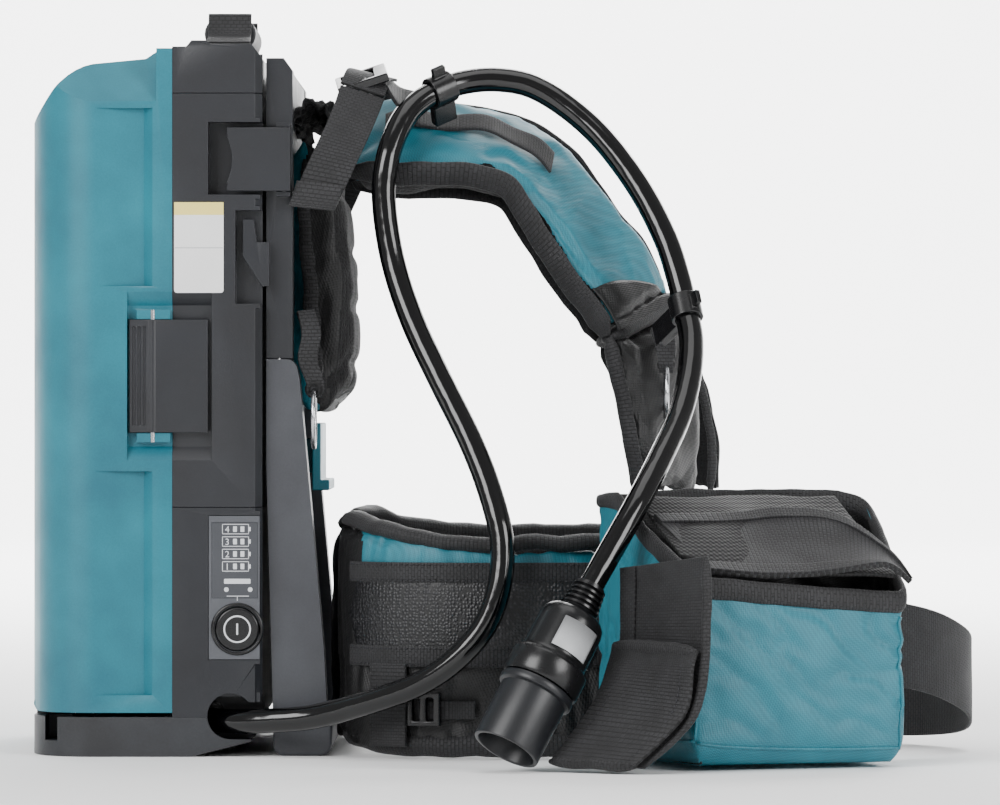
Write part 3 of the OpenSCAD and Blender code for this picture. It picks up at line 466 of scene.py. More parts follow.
# Printed film of the panel, its smoked window and its light marks
PANEL_FILM = textured_plastic("panel_printed_film", "#46484d", "#55575c", 0.5, 1.2, 0.02)
WINDOW_FILM = textured_plastic("panel_window_film", "#3a3c41", "#45474c", 0.35, 1.2, 0.01)
MARK_PRINT = textured_plastic("white_screen_print", "#c9cbcf", "#dfe1e4", 0.5, 1.0, 0.005)
LABEL_WHITE = textured_plastic("label_white_vinyl", "#e6e6e6", "#f2f2f2", 0.42, 1.0, 0.004)
LABEL_YELLOW = textured_plastic("label_yellow_vinyl", "#ecd977", "#f3e38b", 0.42, 1.0, 0.004)
LABEL_GREY = textured_plastic("label_grey_print", "#9a9ca1", "#a9abb0", 0.45, 1.0, 0.004)
PLATE_GREY = textured_plastic("plug_blank_plate", "#a9abad", "#bcbec0", 0.38, 1.0, 0.004)
# Coated polyester of pads and pouch: fine 0.6 mm weave, drawn at 1.1 mm so that it shows
TEAL_CLOTH = cloth_finish("teal_coated_polyester", "#155f6f", "#247b8b", 1.1, 0.02, 0.5, 0.02)
# Plain black nylon of linings and the belt's lower part: a little coarser, nearly no sheen
BLACK_CLOTH = cloth_finish("black_coated_nylon", "#030304", "#0b0b0d", 1.4, 0.04, 0.5, 0.02)
# Heavy black nylon of flap and pouch trim: coarse basket weave
CORDURA = cloth_finish("black_basket_nylon", "#020203", "#121214", 2.3, 0.1, 0.75, 0.02, (0.0, 0.0, 0.78))
# Webbing, and the softer tape folded over every edge: dark, with a painted highlight on each crossing and
# painted shade between them
WEBBING = tape_finish("black_woven_webbing", "#020203", "#2b2b2e", 3.4, 1.8, 0.3)
BINDING = tape_finish("black_binding_tape", "#020203", "#28282b", 3.6, 2.0, 0.3)
# Pebble-grained synthetic leather of the belt bands: domes near 1.6 mm, satin tops, with painted shade
# between the domes
PEBBLE = cell_finish("pebble_grained_leather", "#0c0c0e", "#222226", 1.9, 0.35, 0.42, False)
# Knitted spacer mesh next to the body: an open net of 2 mm holes over dark foam, with painted shade in the
# holes
SPACER = cell_finish("black_spacer_mesh", "#030304", "#141416", 1.9, 0.35, 0.85, True)
# Grey polyester thread
THREAD = textured_plastic("grey_polyester_thread", "#1a1a1d", "#35353a", 0.7, 0.5, 0.02)


# ---- Cord -------------------------------------------------------------------------------

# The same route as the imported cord's, from the gland to the plug
CORD_ROUTE = [
    [20, -110, 20], [21, -122, 20], [28, -137, 20], [41, -149, 20], [58, -157, 21],
    [78, -164, 23], [98, -174, 28], [120, -188, 35], [142, -199, 44], [162, -206, 58],
    [178, -208, 77], [186, -207, 100], [187, -203, 124], [180, -195, 152], [169, -185, 180],
    [152, -172, 214], [136, -159, 248], [125, -149, 282], [120, -144, 316], [122, -142, 339],
    [129, -133, 359], [138, -124, 371], [152, -115, 380], [168, -109, 385], [186, -107, 386],
    [205, -109, 382], [226, -114, 369], [246, -121, 350], [266, -131, 322], [280, -141, 294],
    [287, -148, 272], [291, -156, 254], [294, -168, 236], [292, -186, 214], [286, -206, 193],
    [277, -228, 174], [267, -248, 155], [257, -261, 137]]
CORD_D = 14
PLUG_MOUTH = Vector((189, -313, 12.5))
PLUG_AXIS = Vector((0.442, 0.342, 0.828)).normalized()
SLEEVE_L = 39
RELIEF_Z = SLEEVE_L + 49
RELIEF_L = 18
CORD_END = PLUG_MOUTH + PLUG_AXIS * (RELIEF_Z + RELIEF_L)


def make_cord():
    """The output cord: a round jacket along its route, with its length."""
    line = smooth(CORD_ROUTE + [list(CORD_END)], 5)
    curve = bpy.data.curves.new("output_cord", "CURVE")
    curve.dimensions = "3D"
    spline = curve.splines.new("POLY")
    spline.points.add(len(line) - 1)
    for point, at in zip(spline.points, line):
        point.co = (*at, 1)
    curve.bevel_depth = CORD_D / 2 * MM
    curve.bevel_resolution = 6
    curve.use_fill_caps = True
    curve.materials.append(CORD_PVC)
    cord = bpy.data.objects.new("output_cord", curve)
    SCENE.collection.objects.link(cord)
    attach(cord, "pack")
    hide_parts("cord")
    return cord, length_of(line)


cord, cord_length = make_cord()


# ---- Shells and hard parts --------------------------------------------------------------

# name, CAD node, finish, edge radius in mm, record slot
HARD_PARTS = [
    ("front_cover", "cover", TEAL_ABS, 1.6, "teal_abs"),
    ("housing_top_shell", "housing_top", DARK_ABS, 1.2, "dark_abs"),
    ("housing_middle_shell", "housing_middle", DARK_ABS, 0.9, "dark_abs"),
    ("housing_bottom_shell", "housing_bottom", DARK_ABS, 0.9, "dark_abs"),
    ("base_skirt", "base_tray", BASE_ABS, 1.2, "base_abs"),
    ("latch_plate_right", "latch_right", DARK_ABS, 0.7, "dark_abs"),
    ("latch_plate_left", "latch_left", DARK_ABS, 0.7, "dark_abs"),
    ("harness_frame_upper", "frame_upper", DARK_ABS, 1.4, "dark_abs"),
    ("harness_frame_lower", "frame_lower", GREY_ABS, 2.0, "grey_abs"),
    ("harness_frame_foot", "frame_foot", GREY_ABS, 2.0, "grey_abs"),
    ("pad_yoke", "yoke_plate", TEAL_ABS, 0.8, "teal_abs"),
    ("lever_right", "release_lever_right", DARK_ABS, 0.7, "dark_abs"),
    ("lever_left", "release_lever_left", DARK_ABS, 0.7, "dark_abs"),
    ("grip_sleeve", "handle_grip", RUBBER, 1.5, "seal_rubber"),
    ("panel_plate", "control_panel", PANEL_FILM, 0.3, "panel_film"),
    ("panel_window", "indicator_lens", WINDOW_FILM, 0.2, "lens_film"),
    ("on_button", "power_button", BLACK_ACETAL, 0.5, "black_plastic"),
    ("ladder_lock_pair", "ladder_locks", BLACK_ACETAL, 0.9, "black_plastic"),
    ("cord_clip_pair", "cord_clips", BLACK_ACETAL, 0.7, "black_plastic"),
    ("belt_slider", "belt_adjuster", BLACK_ACETAL, 0.9, "black_plastic"),
    ("side_release_buckle", "belt_buckle", BLACK_ACETAL, 1.3, "black_plastic"),
    ("plug_release", "plug_button", BLACK_ACETAL, 0.6, "black_plastic"),
    ("cord_gland", "cable_gland", BLACK_ACETAL, 0.6, "black_plastic"),
    ("inner_chassis", "chassis", INNER_ABS, 0.5, "inner_plastic"),
    ("contact_blocks", "terminal_blocks", BRASS, 0.4, "brass"),
    ("control_board", "controller_board", BOARD, 0.3, "board_laminate"),
] + [(f"battery_pack_{i}", f"battery_{i}", BATTERY_ABS, 1.6, "battery_plastic") for i in range(1, 5)
] + [(f"battery_release_{i}", f"battery_button_{i}", RELEASE_ABS, 0.6, "release_plastic")
     for i in range(1, 5)]
hard = {name: moulded_part(name, node, finish, radius, slot=slot)
        for name, node, finish, radius, slot in HARD_PARTS}

for node, finish in [("cover_seal", RUBBER), ("hinge_pins", STEEL), ("latch_pins", STEEL),
                     ("chassis_screws", STEEL), ("split_ring_rear", STEEL), ("split_ring_front", STEEL),
                     ("plug_contacts", BRASS)]:
    CAD[node].data.materials.clear()
    CAD[node].data.materials.append(finish)


SIDE_Y = -150       # the housing's right side
PRINT_T = 0.12      # thickness of print and stickers


def rounded_slab(bm, x0, x1, z0, z1, radius, y0, y1, slot=0):
    """A flat block on the pack's side, with rounded corners."""
    made = bmesh.ops.create_cube(bm, size=1.0)["verts"]
    for vert in made:
        vert.co = ((x0 + x1) / 2 + vert.co.x * (x1 - x0), (y0 + y1) / 2 + vert.co.y * (y1 - y0),
                   (z0 + z1) / 2 + vert.co.z * (z1 - z0))
    if radius:
        upright = [e for e in {e for v in made for e in v.link_edges}
                   if abs(e.verts[0].co.y - e.verts[1].co.y) > abs(y1 - y0) / 2]
        bmesh.ops.bevel(bm, geom=upright, offset=radius, segments=5, profile=0.5, affect="EDGES",
                        material=-1)
    for vert in made:
        if vert.is_valid:
            for face in vert.link_faces:
                face.material_index = slot


def finished_print(name, bm, materials, body="pack"):
    """Turns print drawn in millimetres into a piece on its body."""
    bmesh.ops.scale(bm, vec=(MM,) * 3, verts=bm.verts)
    bmesh.ops.recalc_face_normals(bm, faces=bm.faces)
    return add_piece(name, mesh_from(bm, name, False), materials, body)


def make_label():
    """A plain sticker with a yellow head and blank grey marks, in place of printed notices."""
    bm = bmesh.new()
    rounded_slab(bm, 1.2, 29.2, 263.2, 314.6, 1.6, SIDE_Y - 0.15, SIDE_Y + 0.3)
    rounded_slab(bm, 1.2, 29.2, 307.4, 314.6, 0, SIDE_Y - 0.2, SIDE_Y + 0.2, 1)
    rounded_slab(bm, 1.6, 28.8, 288.5, 288.9, 0, SIDE_Y - 0.22, SIDE_Y, 2)
    for z, x in [(302.5, 24), (298.6, 20), (294.7, 22), (283, 23), (279.1, 18), (275.2, 24), (271.3, 20)]:
        rounded_slab(bm, 5, x, z - 1, z, 0.4, SIDE_Y - 0.22, SIDE_Y, 2)
    finished_print("side_label", bm, [LABEL_WHITE, LABEL_YELLOW, LABEL_GREY])


def make_panel_marks():
    """Four battery outlines, each with two charge windows, and a light bar; their numbers come from
    make_numerals.
    """
    bm = bmesh.new()
    y0, y1 = SIDE_Y + 0.05, SIDE_Y + 0.3
    for i in range(4):
        z = 129.2 - i * 7.05
        for x0, x1, z0, z1 in [(28.4, 43.6, z - 2.9, z - 2.5), (28.4, 43.6, z + 2.5, z + 2.9),
                               (28.4, 28.8, z - 2.9, z + 2.9), (43.2, 43.6, z - 2.9, z + 2.9),
                               (43.6, 44.6, z - 1.2, z + 1.2)]:
            rounded_slab(bm, x0, x1, z0, z1, 0, y0, y1)
        for x in (34.6, 38.8):
            rounded_slab(bm, x, x + 2.2, z - 1.6, z + 1.6, 0.3, y0, y1, 1)
    rounded_slab(bm, 29.5, 44.5, 98.2, 101, 0.5, y0, y1, 2)
    for x in (29.5, 43):
        rounded_slab(bm, x, x + 2.6, 93.6, 96.2, 1.2, y0, y1)
    rounded_slab(bm, 31, 43.6, 91, 91.4, 0, y0, y1)
    rounded_slab(bm, 36.8, 37.2, 88.6, 91.2, 0, y0, y1)
    finished_print("panel_marks", bm, [MARK_PRINT, LABEL_GREY, LABEL_WHITE])


def make_numerals():
    """The numbers of the four battery rows."""
    for i, figure in enumerate("4321"):
        text = bpy.data.curves.new("figure", "FONT")
        text.body = figure
        text.size = 5.2 * MM
        text.extrude = 0.08 * MM
        holder = bpy.data.objects.new("figure", text)
        SCENE.collection.objects.link(holder)
        bpy.context.view_layer.update()
        mesh = bpy.data.meshes.new_from_object(holder)
        bpy.data.objects.remove(holder)
        bm = bmesh.new()
        bm.from_mesh(mesh)
        for vert in bm.verts:
            x, y, z = vert.co
            vert.co = (x + 30 * MM, SIDE_Y * MM + 0.1 * MM - z, y + (127.3 - i * 7.05) * MM)
        bmesh.ops.recalc_face_normals(bm, faces=bm.faces)
        add_piece(f"panel_figure_{figure}", mesh_from(bm, f"panel_figure_{figure}", False), MARK_PRINT)


BUTTON_AT = (37, 72.5)


def make_button_mark():
    """The switch symbol: a ring with an upright bar, printed on the button."""
    bm = bmesh.new()
    front = SIDE_Y - 1.2
    radius, width = 6.9, 0.9
    ring = bmesh.ops.create_circle(bm, segments=48, radius=radius)["verts"]
    edges = list({e for v in ring for e in v.link_edges})
    outer = bmesh.ops.extrude_edge_only(bm, edges=edges)["geom"]
    moved = [v for v in outer if isinstance(v, bmesh.types.BMVert)]
    bmesh.ops.scale(bm, vec=((radius + width) / radius,) * 3, verts=moved)
    bmesh.ops.solidify(bm, geom=bm.faces[:], thickness=PRINT_T)
    for vert in bm.verts:
        x, y, z = vert.co
        vert.co = (BUTTON_AT[0] + x, front - 0.02 - z * 0.5, BUTTON_AT[1] + y)
    rounded_slab(bm, BUTTON_AT[0] - 0.5, BUTTON_AT[0] + 0.5, BUTTON_AT[1] - 3.2, BUTTON_AT[1] + 3.2, 0,
                 front - 0.1, front + 0.1)
    finished_print("button_symbol", bm, [MARK_PRINT], "power_button")


def make_button_bezel():
    """Raised ring of the housing round the button."""
    bm = bmesh.new()
    profile = [(13.1, 1.0), (13.1, -0.5), (13.6, -0.9), (14.6, -0.6), (15.0, 0.2), (15.0, 1.0)]
    verts = [bm.verts.new((r, y, 0)) for r, y in profile]
    edges = [bm.edges.new(pair) for pair in zip(verts, verts[1:])]
    bmesh.ops.spin(bm, geom=verts + edges, cent=(0, 0, 0), axis=(0, 1, 0), angle=2 * math.pi, steps=64,
                   use_merge=True)
    bmesh.ops.translate(bm, vec=(BUTTON_AT[0], SIDE_Y, BUTTON_AT[1]), verts=bm.verts)
    bmesh.ops.scale(bm, vec=(MM,) * 3, verts=bm.verts)
    bmesh.ops.recalc_face_normals(bm, faces=bm.faces)
    add_piece("button_bezel", mesh_from(bm, "button_bezel"), BLACK_ACETAL, slot="black_plastic")


make_label()
make_panel_marks()
make_numerals()
make_button_mark()
make_button_bezel()


# ---- Plug -------------------------------------------------------------------------------

def in_plug(bm):
    """Stands a plug part, drawn upright from the open mouth, where the plug lies."""
    turn = Vector((0, 0, 1)).rotation_difference(PLUG_AXIS).to_matrix().to_4x4()
    bmesh.ops.transform(bm, matrix=turn, verts=bm.verts)
    bmesh.ops.translate(bm, vec=PLUG_MOUTH, verts=bm.verts)
    bmesh.ops.scale(bm, vec=(MM,) * 3, verts=bm.verts)


def turned(name, profile, material, slot, replaces=(), steps=64):
    """A plug part turned from its profile of (radius, height) points."""
    bm = bmesh.new()
    verts = [bm.verts.new((r, 0, z)) for r, z in profile]
    edges = [bm.edges.new(pair) for pair in zip(verts, verts[1:])]
    bmesh.ops.spin(bm, geom=verts + edges, cent=(0, 0, 0), axis=(0, 0, 1), angle=2 * math.pi, steps=steps,
                   use_merge=True)
    bmesh.ops.remove_doubles(bm, verts=bm.verts, dist=1e-4)
    bmesh.ops.recalc_face_normals(bm, faces=bm.faces)
    in_plug(bm)
    for edge in bm.edges:
        edge.smooth = edge.calc_face_angle(0) < math.radians(40)
    return add_piece(name, mesh_from(bm, name), material, "pack", slot, replaces)


def make_plug():
    """Sleeve, body, strain relief and blank plate of the plug, with the CAD's button and contacts."""
    top = RELIEF_Z + RELIEF_L
    sleeve = turned("plug_sleeve_shell", [
        (0, 31), (16.2, 31), (16.4, 30.6), (16.4, 1), (16.9, 0.2), (18, 0), (18.8, 0.3), (19, 1.2),
        (19, 34.4), (19.6, 34.8), (21, 35.2), (21.5, 36), (21.5, 38.6), (21, 39.6), (19, 40), (0, 40)],
        PLUG_SOFT, "plug_plastic", ["plug_sleeve"])
    body = turned("plug_body_shell", [
        (0, 40.2), (19.5, 40.2), (21, 40.6), (22, 42.4), (22, 53.6), (21.6, 55), (20.2, 56.2), (19.4, 57.4),
        (19, 59), (18.7, 77), (18.4, 81), (17.6, 84), (15.4, 86.6), (13, 87.8), (11.4, 88.4), (10.6, 89.4),
        (10.2, 92), (0, 92)], PLUG_DARK, "plug_plastic", ["plug_body"])
    relief = []
    for i in range(5):
        z, r = 90 + i * 3.2, 11.2 - i * 0.45
        relief += [(r - 1.3, z), (r, z + 0.5), (r, z + 1.7), (r - 1.3, z + 2.2)]
    collar = turned("strain_relief", [(0, 89)] + relief + [(8.1, top), (0, top)], BLACK_ACETAL,
                    "black_plastic")
    # blank plate on the side that faces away from the wearer
    bm = bmesh.new()
    bmesh.ops.create_grid(bm, x_segments=14, y_segments=1, size=0.5)
    facing = math.radians(-66)
    for vert in bm.verts:
        a = facing + vert.co.x * math.radians(70)
        r = 19.4 if vert.co.y < 0 else 19.1
        vert.co = (r * math.cos(a), r * math.sin(a), 69 + vert.co.y * 18)
    bmesh.ops.solidify(bm, geom=bm.faces[:], thickness=-0.35)
    bmesh.ops.recalc_face_normals(bm, faces=bm.faces)
    in_plug(bm)
    plate = add_piece("plug_blank_plate", mesh_from(bm, "plug_blank_plate"), PLATE_GREY)
    return [sleeve, body, collar, plate, hard["plug_release"], CAD["plug_contacts"]]


plug_pieces = make_plug()


# ---- Padded pieces ----------------------------------------------------------------------

def apply_modifiers(piece):
    """Bakes a piece's modifiers into its mesh."""
    bpy.context.view_layer.update()
    made = bpy.data.meshes.new_from_object(piece.evaluated_get(bpy.context.evaluated_depsgraph_get()))
    piece.modifiers.clear()
    piece.data = made


def pad_blank(name, node, voxel, shrink):
    """A fine even mesh of a CAD cushion, drawn in by shrink millimetres."""
    piece = bpy.data.objects.new(name, mesh_from(clean_copy(node), name))
    SCENE.collection.objects.link(piece)
    remesh = piece.modifiers.new("remesh", "REMESH")
    remesh.mode = "VOXEL"
    remesh.voxel_size = voxel * MM
    apply_modifiers(piece)
    for vert, normal in [(v, v.normal.copy()) for v in piece.data.vertices]:
        vert.co -= normal * shrink * MM
    return piece


# name, CAD node, voxel, drawn in by, most that a point may swell, record slot
PADS = [
    ("back_cushion", "back_pad", 5.0, 2.5, 8, "teal_fabric"),
    ("shoulder_cushion_right", "shoulder_pad_right", 4.5, 1.5, 5, "teal_fabric"),
    ("shoulder_cushion_left", "shoulder_pad_left", 4.5, 1.5, 5, "teal_fabric"),
    ("chest_strap_right", "shoulder_tail_right", 4.0, 0.8, 4, "black_fabric"),
    ("chest_strap_left", "shoulder_tail_left", 4.0, 0.8, 4, "black_fabric"),
    ("lumbar_cushion", "lumbar_pad", 5.0, 2.0, 6, "black_fabric"),
    ("belt_cushion_right", "belt_pad_right", 5.0, 2.0, 5, "black_fabric"),
    ("belt_cushion_left", "belt_pad_left", 5.0, 2.0, 5, "black_fabric"),
]
PRESSURE = 4.0
SIM_FRAMES = 20


def stuff_pads():
    """Swells all the cushions together as filled cloth bags, then fixes their shape."""
    pads = {}
    for name, node, voxel, shrink, _, _ in PADS:
        pads[name] = pad_blank(name, node, voxel, shrink)
    most = {name: cap * MM for name, _, _, _, cap, _ in PADS}
    start = {n: [v.co.copy() for v in p.data.vertices] for n, p in pads.items()}
    for piece in pads.values():
        cloth = piece.modifiers.new("cloth", "CLOTH")
        cloth.settings.use_pressure = True
        cloth.settings.uniform_pressure_force = PRESSURE
        cloth.settings.quality = 5
        cloth.settings.effector_weights.gravity = 0
        cloth.settings.tension_stiffness = 15
        cloth.settings.compression_stiffness = 15
        cloth.settings.shear_stiffness = 5
        cloth.point_cache.frame_end = SIM_FRAMES
    for number in range(1, SIM_FRAMES + 1):
        SCENE.frame_set(number)
    for name, piece in pads.items():
        apply_modifiers(piece)
        for vert, was in zip(piece.data.vertices, start[name]):
            moved = vert.co - was
            if moved.length > most[name]:
                vert.co = was + moved * most[name] / moved.length
    SCENE.frame_set(1)
    for name, node, _, _, _, slot in PADS:
        piece = pads[name]
        fine = piece.modifiers.new("fine", "SUBSURF")
        fine.levels = fine.render_levels = 1
        apply_modifiers(piece)
        for face in piece.data.polygons:
            face.use_smooth = True
        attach(piece, "pack")
        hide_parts(node)
    return pads


def press(piece, depth):
    """Moves each point along its normal by depth(point, normal) millimetres."""
    mesh = piece.data
    normals = [v.normal.copy() for v in mesh.vertices]
    for vert, normal in zip(mesh.vertices, normals):
        vert.co += normal * depth(vert.co / MM, normal) * MM


def creases(point, scale, amount):
    """Soft folds: ridged noise that dips sharply and swells slowly."""
    n = noise.noise(point * scale) + 0.5 * noise.noise(point * scale * 2.3)
    return -amount * max(0.0, 0.35 - abs(n)) / 0.35


def dress(piece, materials, choose):
    """Gives each face the material number that choose(centre, normal) returns."""
    for one in materials:
        piece.data.materials.append(one)
    for face in piece.data.polygons:
        face.material_index = choose(face.center / MM, face.normal)


pads = stuff_pads()

# Edge lines of the right shoulder pad: neck side and arm side, from the back forwards
PAD_NECK = [[92, -60, 358], [108, -60, 371], [128, -62, 380], [152, -62, 379], [176, -62, 376],
            [194, -62, 372], [211, -62, 365], [232, -62, 350], [246, -62, 331], [259, -62, 313],
            [273, -62, 296], [283, -62, 277], [290, -62, 262]]
PAD_ARM = [[94, -118, 338], [108, -126, 338], [129, -130, 337], [152, -130, 338], [174, -130, 336],
           [192, -130, 330], [204, -130, 314], [216, -130, 295], [227, -130, 278], [236, -130, 266],
           [244, -130, 256], [249, -130, 248], [252, -130, 241]]
TAIL_NECK = [[291, -62, 259], [297, -62, 240], [302, -62, 215], [303, -60, 190], [302, -58, 168],
             [300, -58, 146]]
TAIL_ARM = [[252, -130, 239], [255, -130, 222], [260, -130, 202], [264, -130, 182], [267, -128, 164],
            [270, -126, 148]]
SHOULDER_T = 14
BELT_LINE = [[98, -112, 8, 134], [109, -140, 4, 133], [128, -162, 1, 128], [160, -174, 1, 119],
             [200, -176, 1, 116], [240, -170, 1, 117], [275, -155, 1, 117], [305, -130, 3, 112]]
BELT_T = 14
BAND_Z = (52, 111)
BELT_RIM_Z = [134, 133, 127, 121.5, 121.5, 122, 122, 117]    # the top binding's middle


class Slab:
    """A strip between two edge lines, with its face and edge directions at each station."""

    def __init__(self, first, second, steps):
        self.a, self.b = smooth(first, steps), smooth(second, steps)
        self.middle = [(p + q) / 2 for p, q in zip(self.a, self.b)]
        self.across = [(q - p).normalized() for p, q in zip(self.a, self.b)]
        self.face = [e.cross(direction(self.middle, i)).normalized() for i, e in enumerate(self.across)]

    def nearest(self, point):
        return min(range(len(self.middle)), key=lambda i: (self.middle[i] - point).length_squared)


def make_shoulder(side, first, second, name, thickness, top, materials):
    """Dresses one shoulder pad or tail: coloured face, lined underside and bound edges."""
    slab = Slab(first, second, 6)
    piece = pads[name]
    press(piece, lambda p, n: creases(p * 0.011 + Vector((side, 2, 0)), 1.6, 1.6))

    def choose(centre, normal):
        i = slab.nearest(centre * MM)
        return 0 if normal.dot(slab.face[i]) * top > 0.3 else 1

    dress(piece, materials, choose)
    for edge, line, out, drop in (("arm", slab.b, 1, 0.0), ("neck", slab.a, -1, 3.0)):
        centre = [p - f * (thickness / 2 + drop) * MM * top + e * out * 0.2 * MM
                  for p, f, e in zip(line, slab.face, slab.across)]
        roll(f"{name}_{edge}_binding", centre, slab.face, [e * out for e in slab.across],
             thickness / 2 + 0.8 - drop * 0.7, 2.6 - drop * 0.3, BINDING, pucker=1.0)
    return slab


def make_cuff(slab, name, label, top):
    """Black cloth over the pad's lower end, and the bound seam to the strap below it."""
    tree, last = tree_of(pads[name]), len(slab.a) - 1

    def place(u, v):
        s = (last - 1 - 16 * u) * (1 - v) + last * v
        i = min(int(s), last - 1)
        edge = 0.03 + 0.94 * u
        here, there = slab.a[i].lerp(slab.b[i], edge), slab.a[i + 1].lerp(slab.b[i + 1], edge)
        return laid_on(tree, here.lerp(there, s - i), slab.face[i] * top, 0.9)

    cuff = add_piece(f"pad_cuff_{label}", sheet_mesh(f"pad_cuff_{label}", 24, 14, place, (0.07, 0.03)),
                     BLACK_CLOTH, "pack", "black_fabric")
    thicken(cuff, 1.0 * MM, 0.0)
    ahead = direction(slab.middle, last)
    inset = ahead * 1.5 * MM - slab.face[-1] * top * SHOULDER_T / 2 * MM
    line = [slab.a[-1].lerp(slab.b[-1], t / 16) + inset for t in range(17)]
    roll(f"pad_end_binding_{label}", line, [ahead] * 17, [slab.face[-1] * top] * 17, 5, SHOULDER_T / 2 + 2.2,
         BINDING, pucker=1.4)


right = make_shoulder(1, PAD_NECK, PAD_ARM, "shoulder_cushion_right", SHOULDER_T, 1, [TEAL_CLOTH, SPACER])
left = make_shoulder(2, flip_y(PAD_NECK), flip_y(PAD_ARM), "shoulder_cushion_left", SHOULDER_T, -1,
                     [TEAL_CLOTH, SPACER])
make_cuff(right, "shoulder_cushion_right", "right", 1)
make_cuff(left, "shoulder_cushion_left", "left", -1)
TAIL_T = SHOULDER_T * 0.6
LEAN = [0, 4, 9, 14, 17, 18]     # the left strap hangs further forward
make_shoulder(3, TAIL_NECK, TAIL_ARM, "chest_strap_right", TAIL_T, 1, [BLACK_CLOTH, SPACER])
make_shoulder(4, [[p[0] + d, -p[1], p[2]] for p, d in zip(TAIL_NECK, LEAN)],
              [[p[0] + d, -p[1], p[2]] for p, d in zip(TAIL_ARM, LEAN)], "chest_strap_left", TAIL_T, -1,
              [BLACK_CLOTH, SPACER])


def make_belt(sign, name, number):
    """One side of the hip belt: padded wing, pebbled band between webbing, and bindings."""
    line = smooth([[p[0], p[1] * sign, 0] for p in BELT_LINE], 6)
    low = smooth([[p[2], 0, 0] for p in BELT_LINE], 6)
    out = []
    for i in range(len(line)):
        ahead = direction(line, i)
        out.append(Vector((ahead.y, -ahead.x, 0)) * sign)
    up = [Vector((0, 0, 1))] * len(line)
    piece = pads[name]

    def nearest_out(point):
        i = min(range(len(line)), key=lambda k: (line[k].xy - point.xy).length_squared)
        return out[i]

    def depth(p, n):
        pleat = creases(Vector((p.x * 0.05, p.y * 0.05, p.z * 0.008 + number)), 1.0, 2.2)
        return pleat if p.z < BAND_Z[0] + 4 else 0.5 * pleat

    press(piece, depth)
    for vert in piece.data.vertices:
        x, z = vert.co.x / MM, vert.co.z / MM
        rise = min(1.0, max(0.0, (z - 104) / 10)) * min(1.0, max(0.0, (x - 112) / 30))
        vert.co.z += 6 * rise * MM

    def choose(centre, normal):
        if normal.dot(nearest_out(centre * MM)) < -0.3:
            return 2
        return 0 if centre.z > BAND_Z[1] - 6 and centre.x > 108 else 1

    dress(piece, [TEAL_CLOTH, BLACK_CLOTH, SPACER], choose)
    rim = smooth([[z, 0, 0] for z in BELT_RIM_Z], 6)
    top = [Vector((p.x, p.y, z.x + 1.6 * noise.noise(p * 28) * MM)) for p, z in zip(line, rim)]
    roll(f"{name}_top_binding", top, up, out, 4.8, BELT_T / 2 + 1.0, BINDING, pucker=2.0)
    bottom = [Vector((p.x, p.y, l.x + 7 * MM)) for p, l in zip(line, low)]
    roll(f"{name}_lower_binding", bottom, up, out, 7, BELT_T / 2 + 0.4, BINDING, pucker=1.4)
    start = 6
    span = range(start, len(line))
    total = length_of([line[i] for i in span])

    def band(label, z0, z1, proud, crown, across, material, slot):
        def place(u, v):
            i = start + round(v * (len(line) - 1 - start))
            swell = crown * math.sin(math.pi * u) ** 0.6
            ripple = 0.35 * noise.noise(line[i] * 60 + Vector((0, 0, z0)))
            at = line[i] + out[i] * (BELT_T / 2 + proud + swell + ripple) * MM
            end = min(1.0, v * total / (14 * MM)) if crown > 1 else 1.0
            half = (z1 - z0) / 2 * (1 - (1 - end) ** 2) ** 0.5
            return Vector((at.x, at.y, ((z0 + z1) / 2 + half * (2 * u - 1)) * MM))
        mesh = sheet_mesh(label, across, len(line) - 1 - start, place, ((z1 - z0) * MM, total))
        made = add_piece(label, mesh, material, "pack", slot)
        return thicken(made, 1.6 * MM, 1.0 if sign > 0 else -1.0, 0.3 * MM)

    first = band(f"{name}_pebble_band", BAND_Z[0] + 8, BAND_Z[1] - 8, 1.6, 1.6, 14, PEBBLE, "grained_fabric")
    band(f"{name}_band_tape_top", BAND_Z[1] - 11.5, BAND_Z[1], 2.6, 0.3, 4, WEBBING, "webbing")
    band(f"{name}_band_tape_low", BAND_Z[0], BAND_Z[0] + 12, 2.6, 0.3, 4, WEBBING, "webbing")
    rows = []
    for z in (BAND_Z[1] - 10.2, BAND_Z[1] - 1.4, BAND_Z[0] + 1.6, BAND_Z[0] + 10.4):
        rows.append([(Vector((line[i].x, line[i].y, z * MM)) + out[i] * (BELT_T / 2 + 2.8) * MM, out[i])
                     for i in span])
    stitches(f"{name}_band_stitches", rows, THREAD, pitch=3.4, long=2.3)

    def at(x, z, lift):
        i = min(range(len(line)), key=lambda k: abs(line[k].x - x * MM))
        spot = line[i] + out[i] * (BELT_T / 2 + lift) * MM
        return [spot.x / MM, spot.y / MM, z]

    heights = (54, 44, 34, 24, 14, 7)
    strap(f"{name}_pull_webbing", [at(119, z, 3.4) for z in heights], [at(140, z, 3.4) for z in heights], 2,
          WEBBING, wave=0.6)
    strap(f"{name}_pull_end", [at(x, 33, 2.6) for x in range(142, 178, 8)],
          [at(x, 23, 2.6) for x in range(142, 178, 8)], 1.6, WEBBING, wave=0.5)
    return first


band_right = make_belt(1, "belt_cushion_right", 5)
make_belt(-1, "belt_cushion_left", 6)
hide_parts("belt_bands")


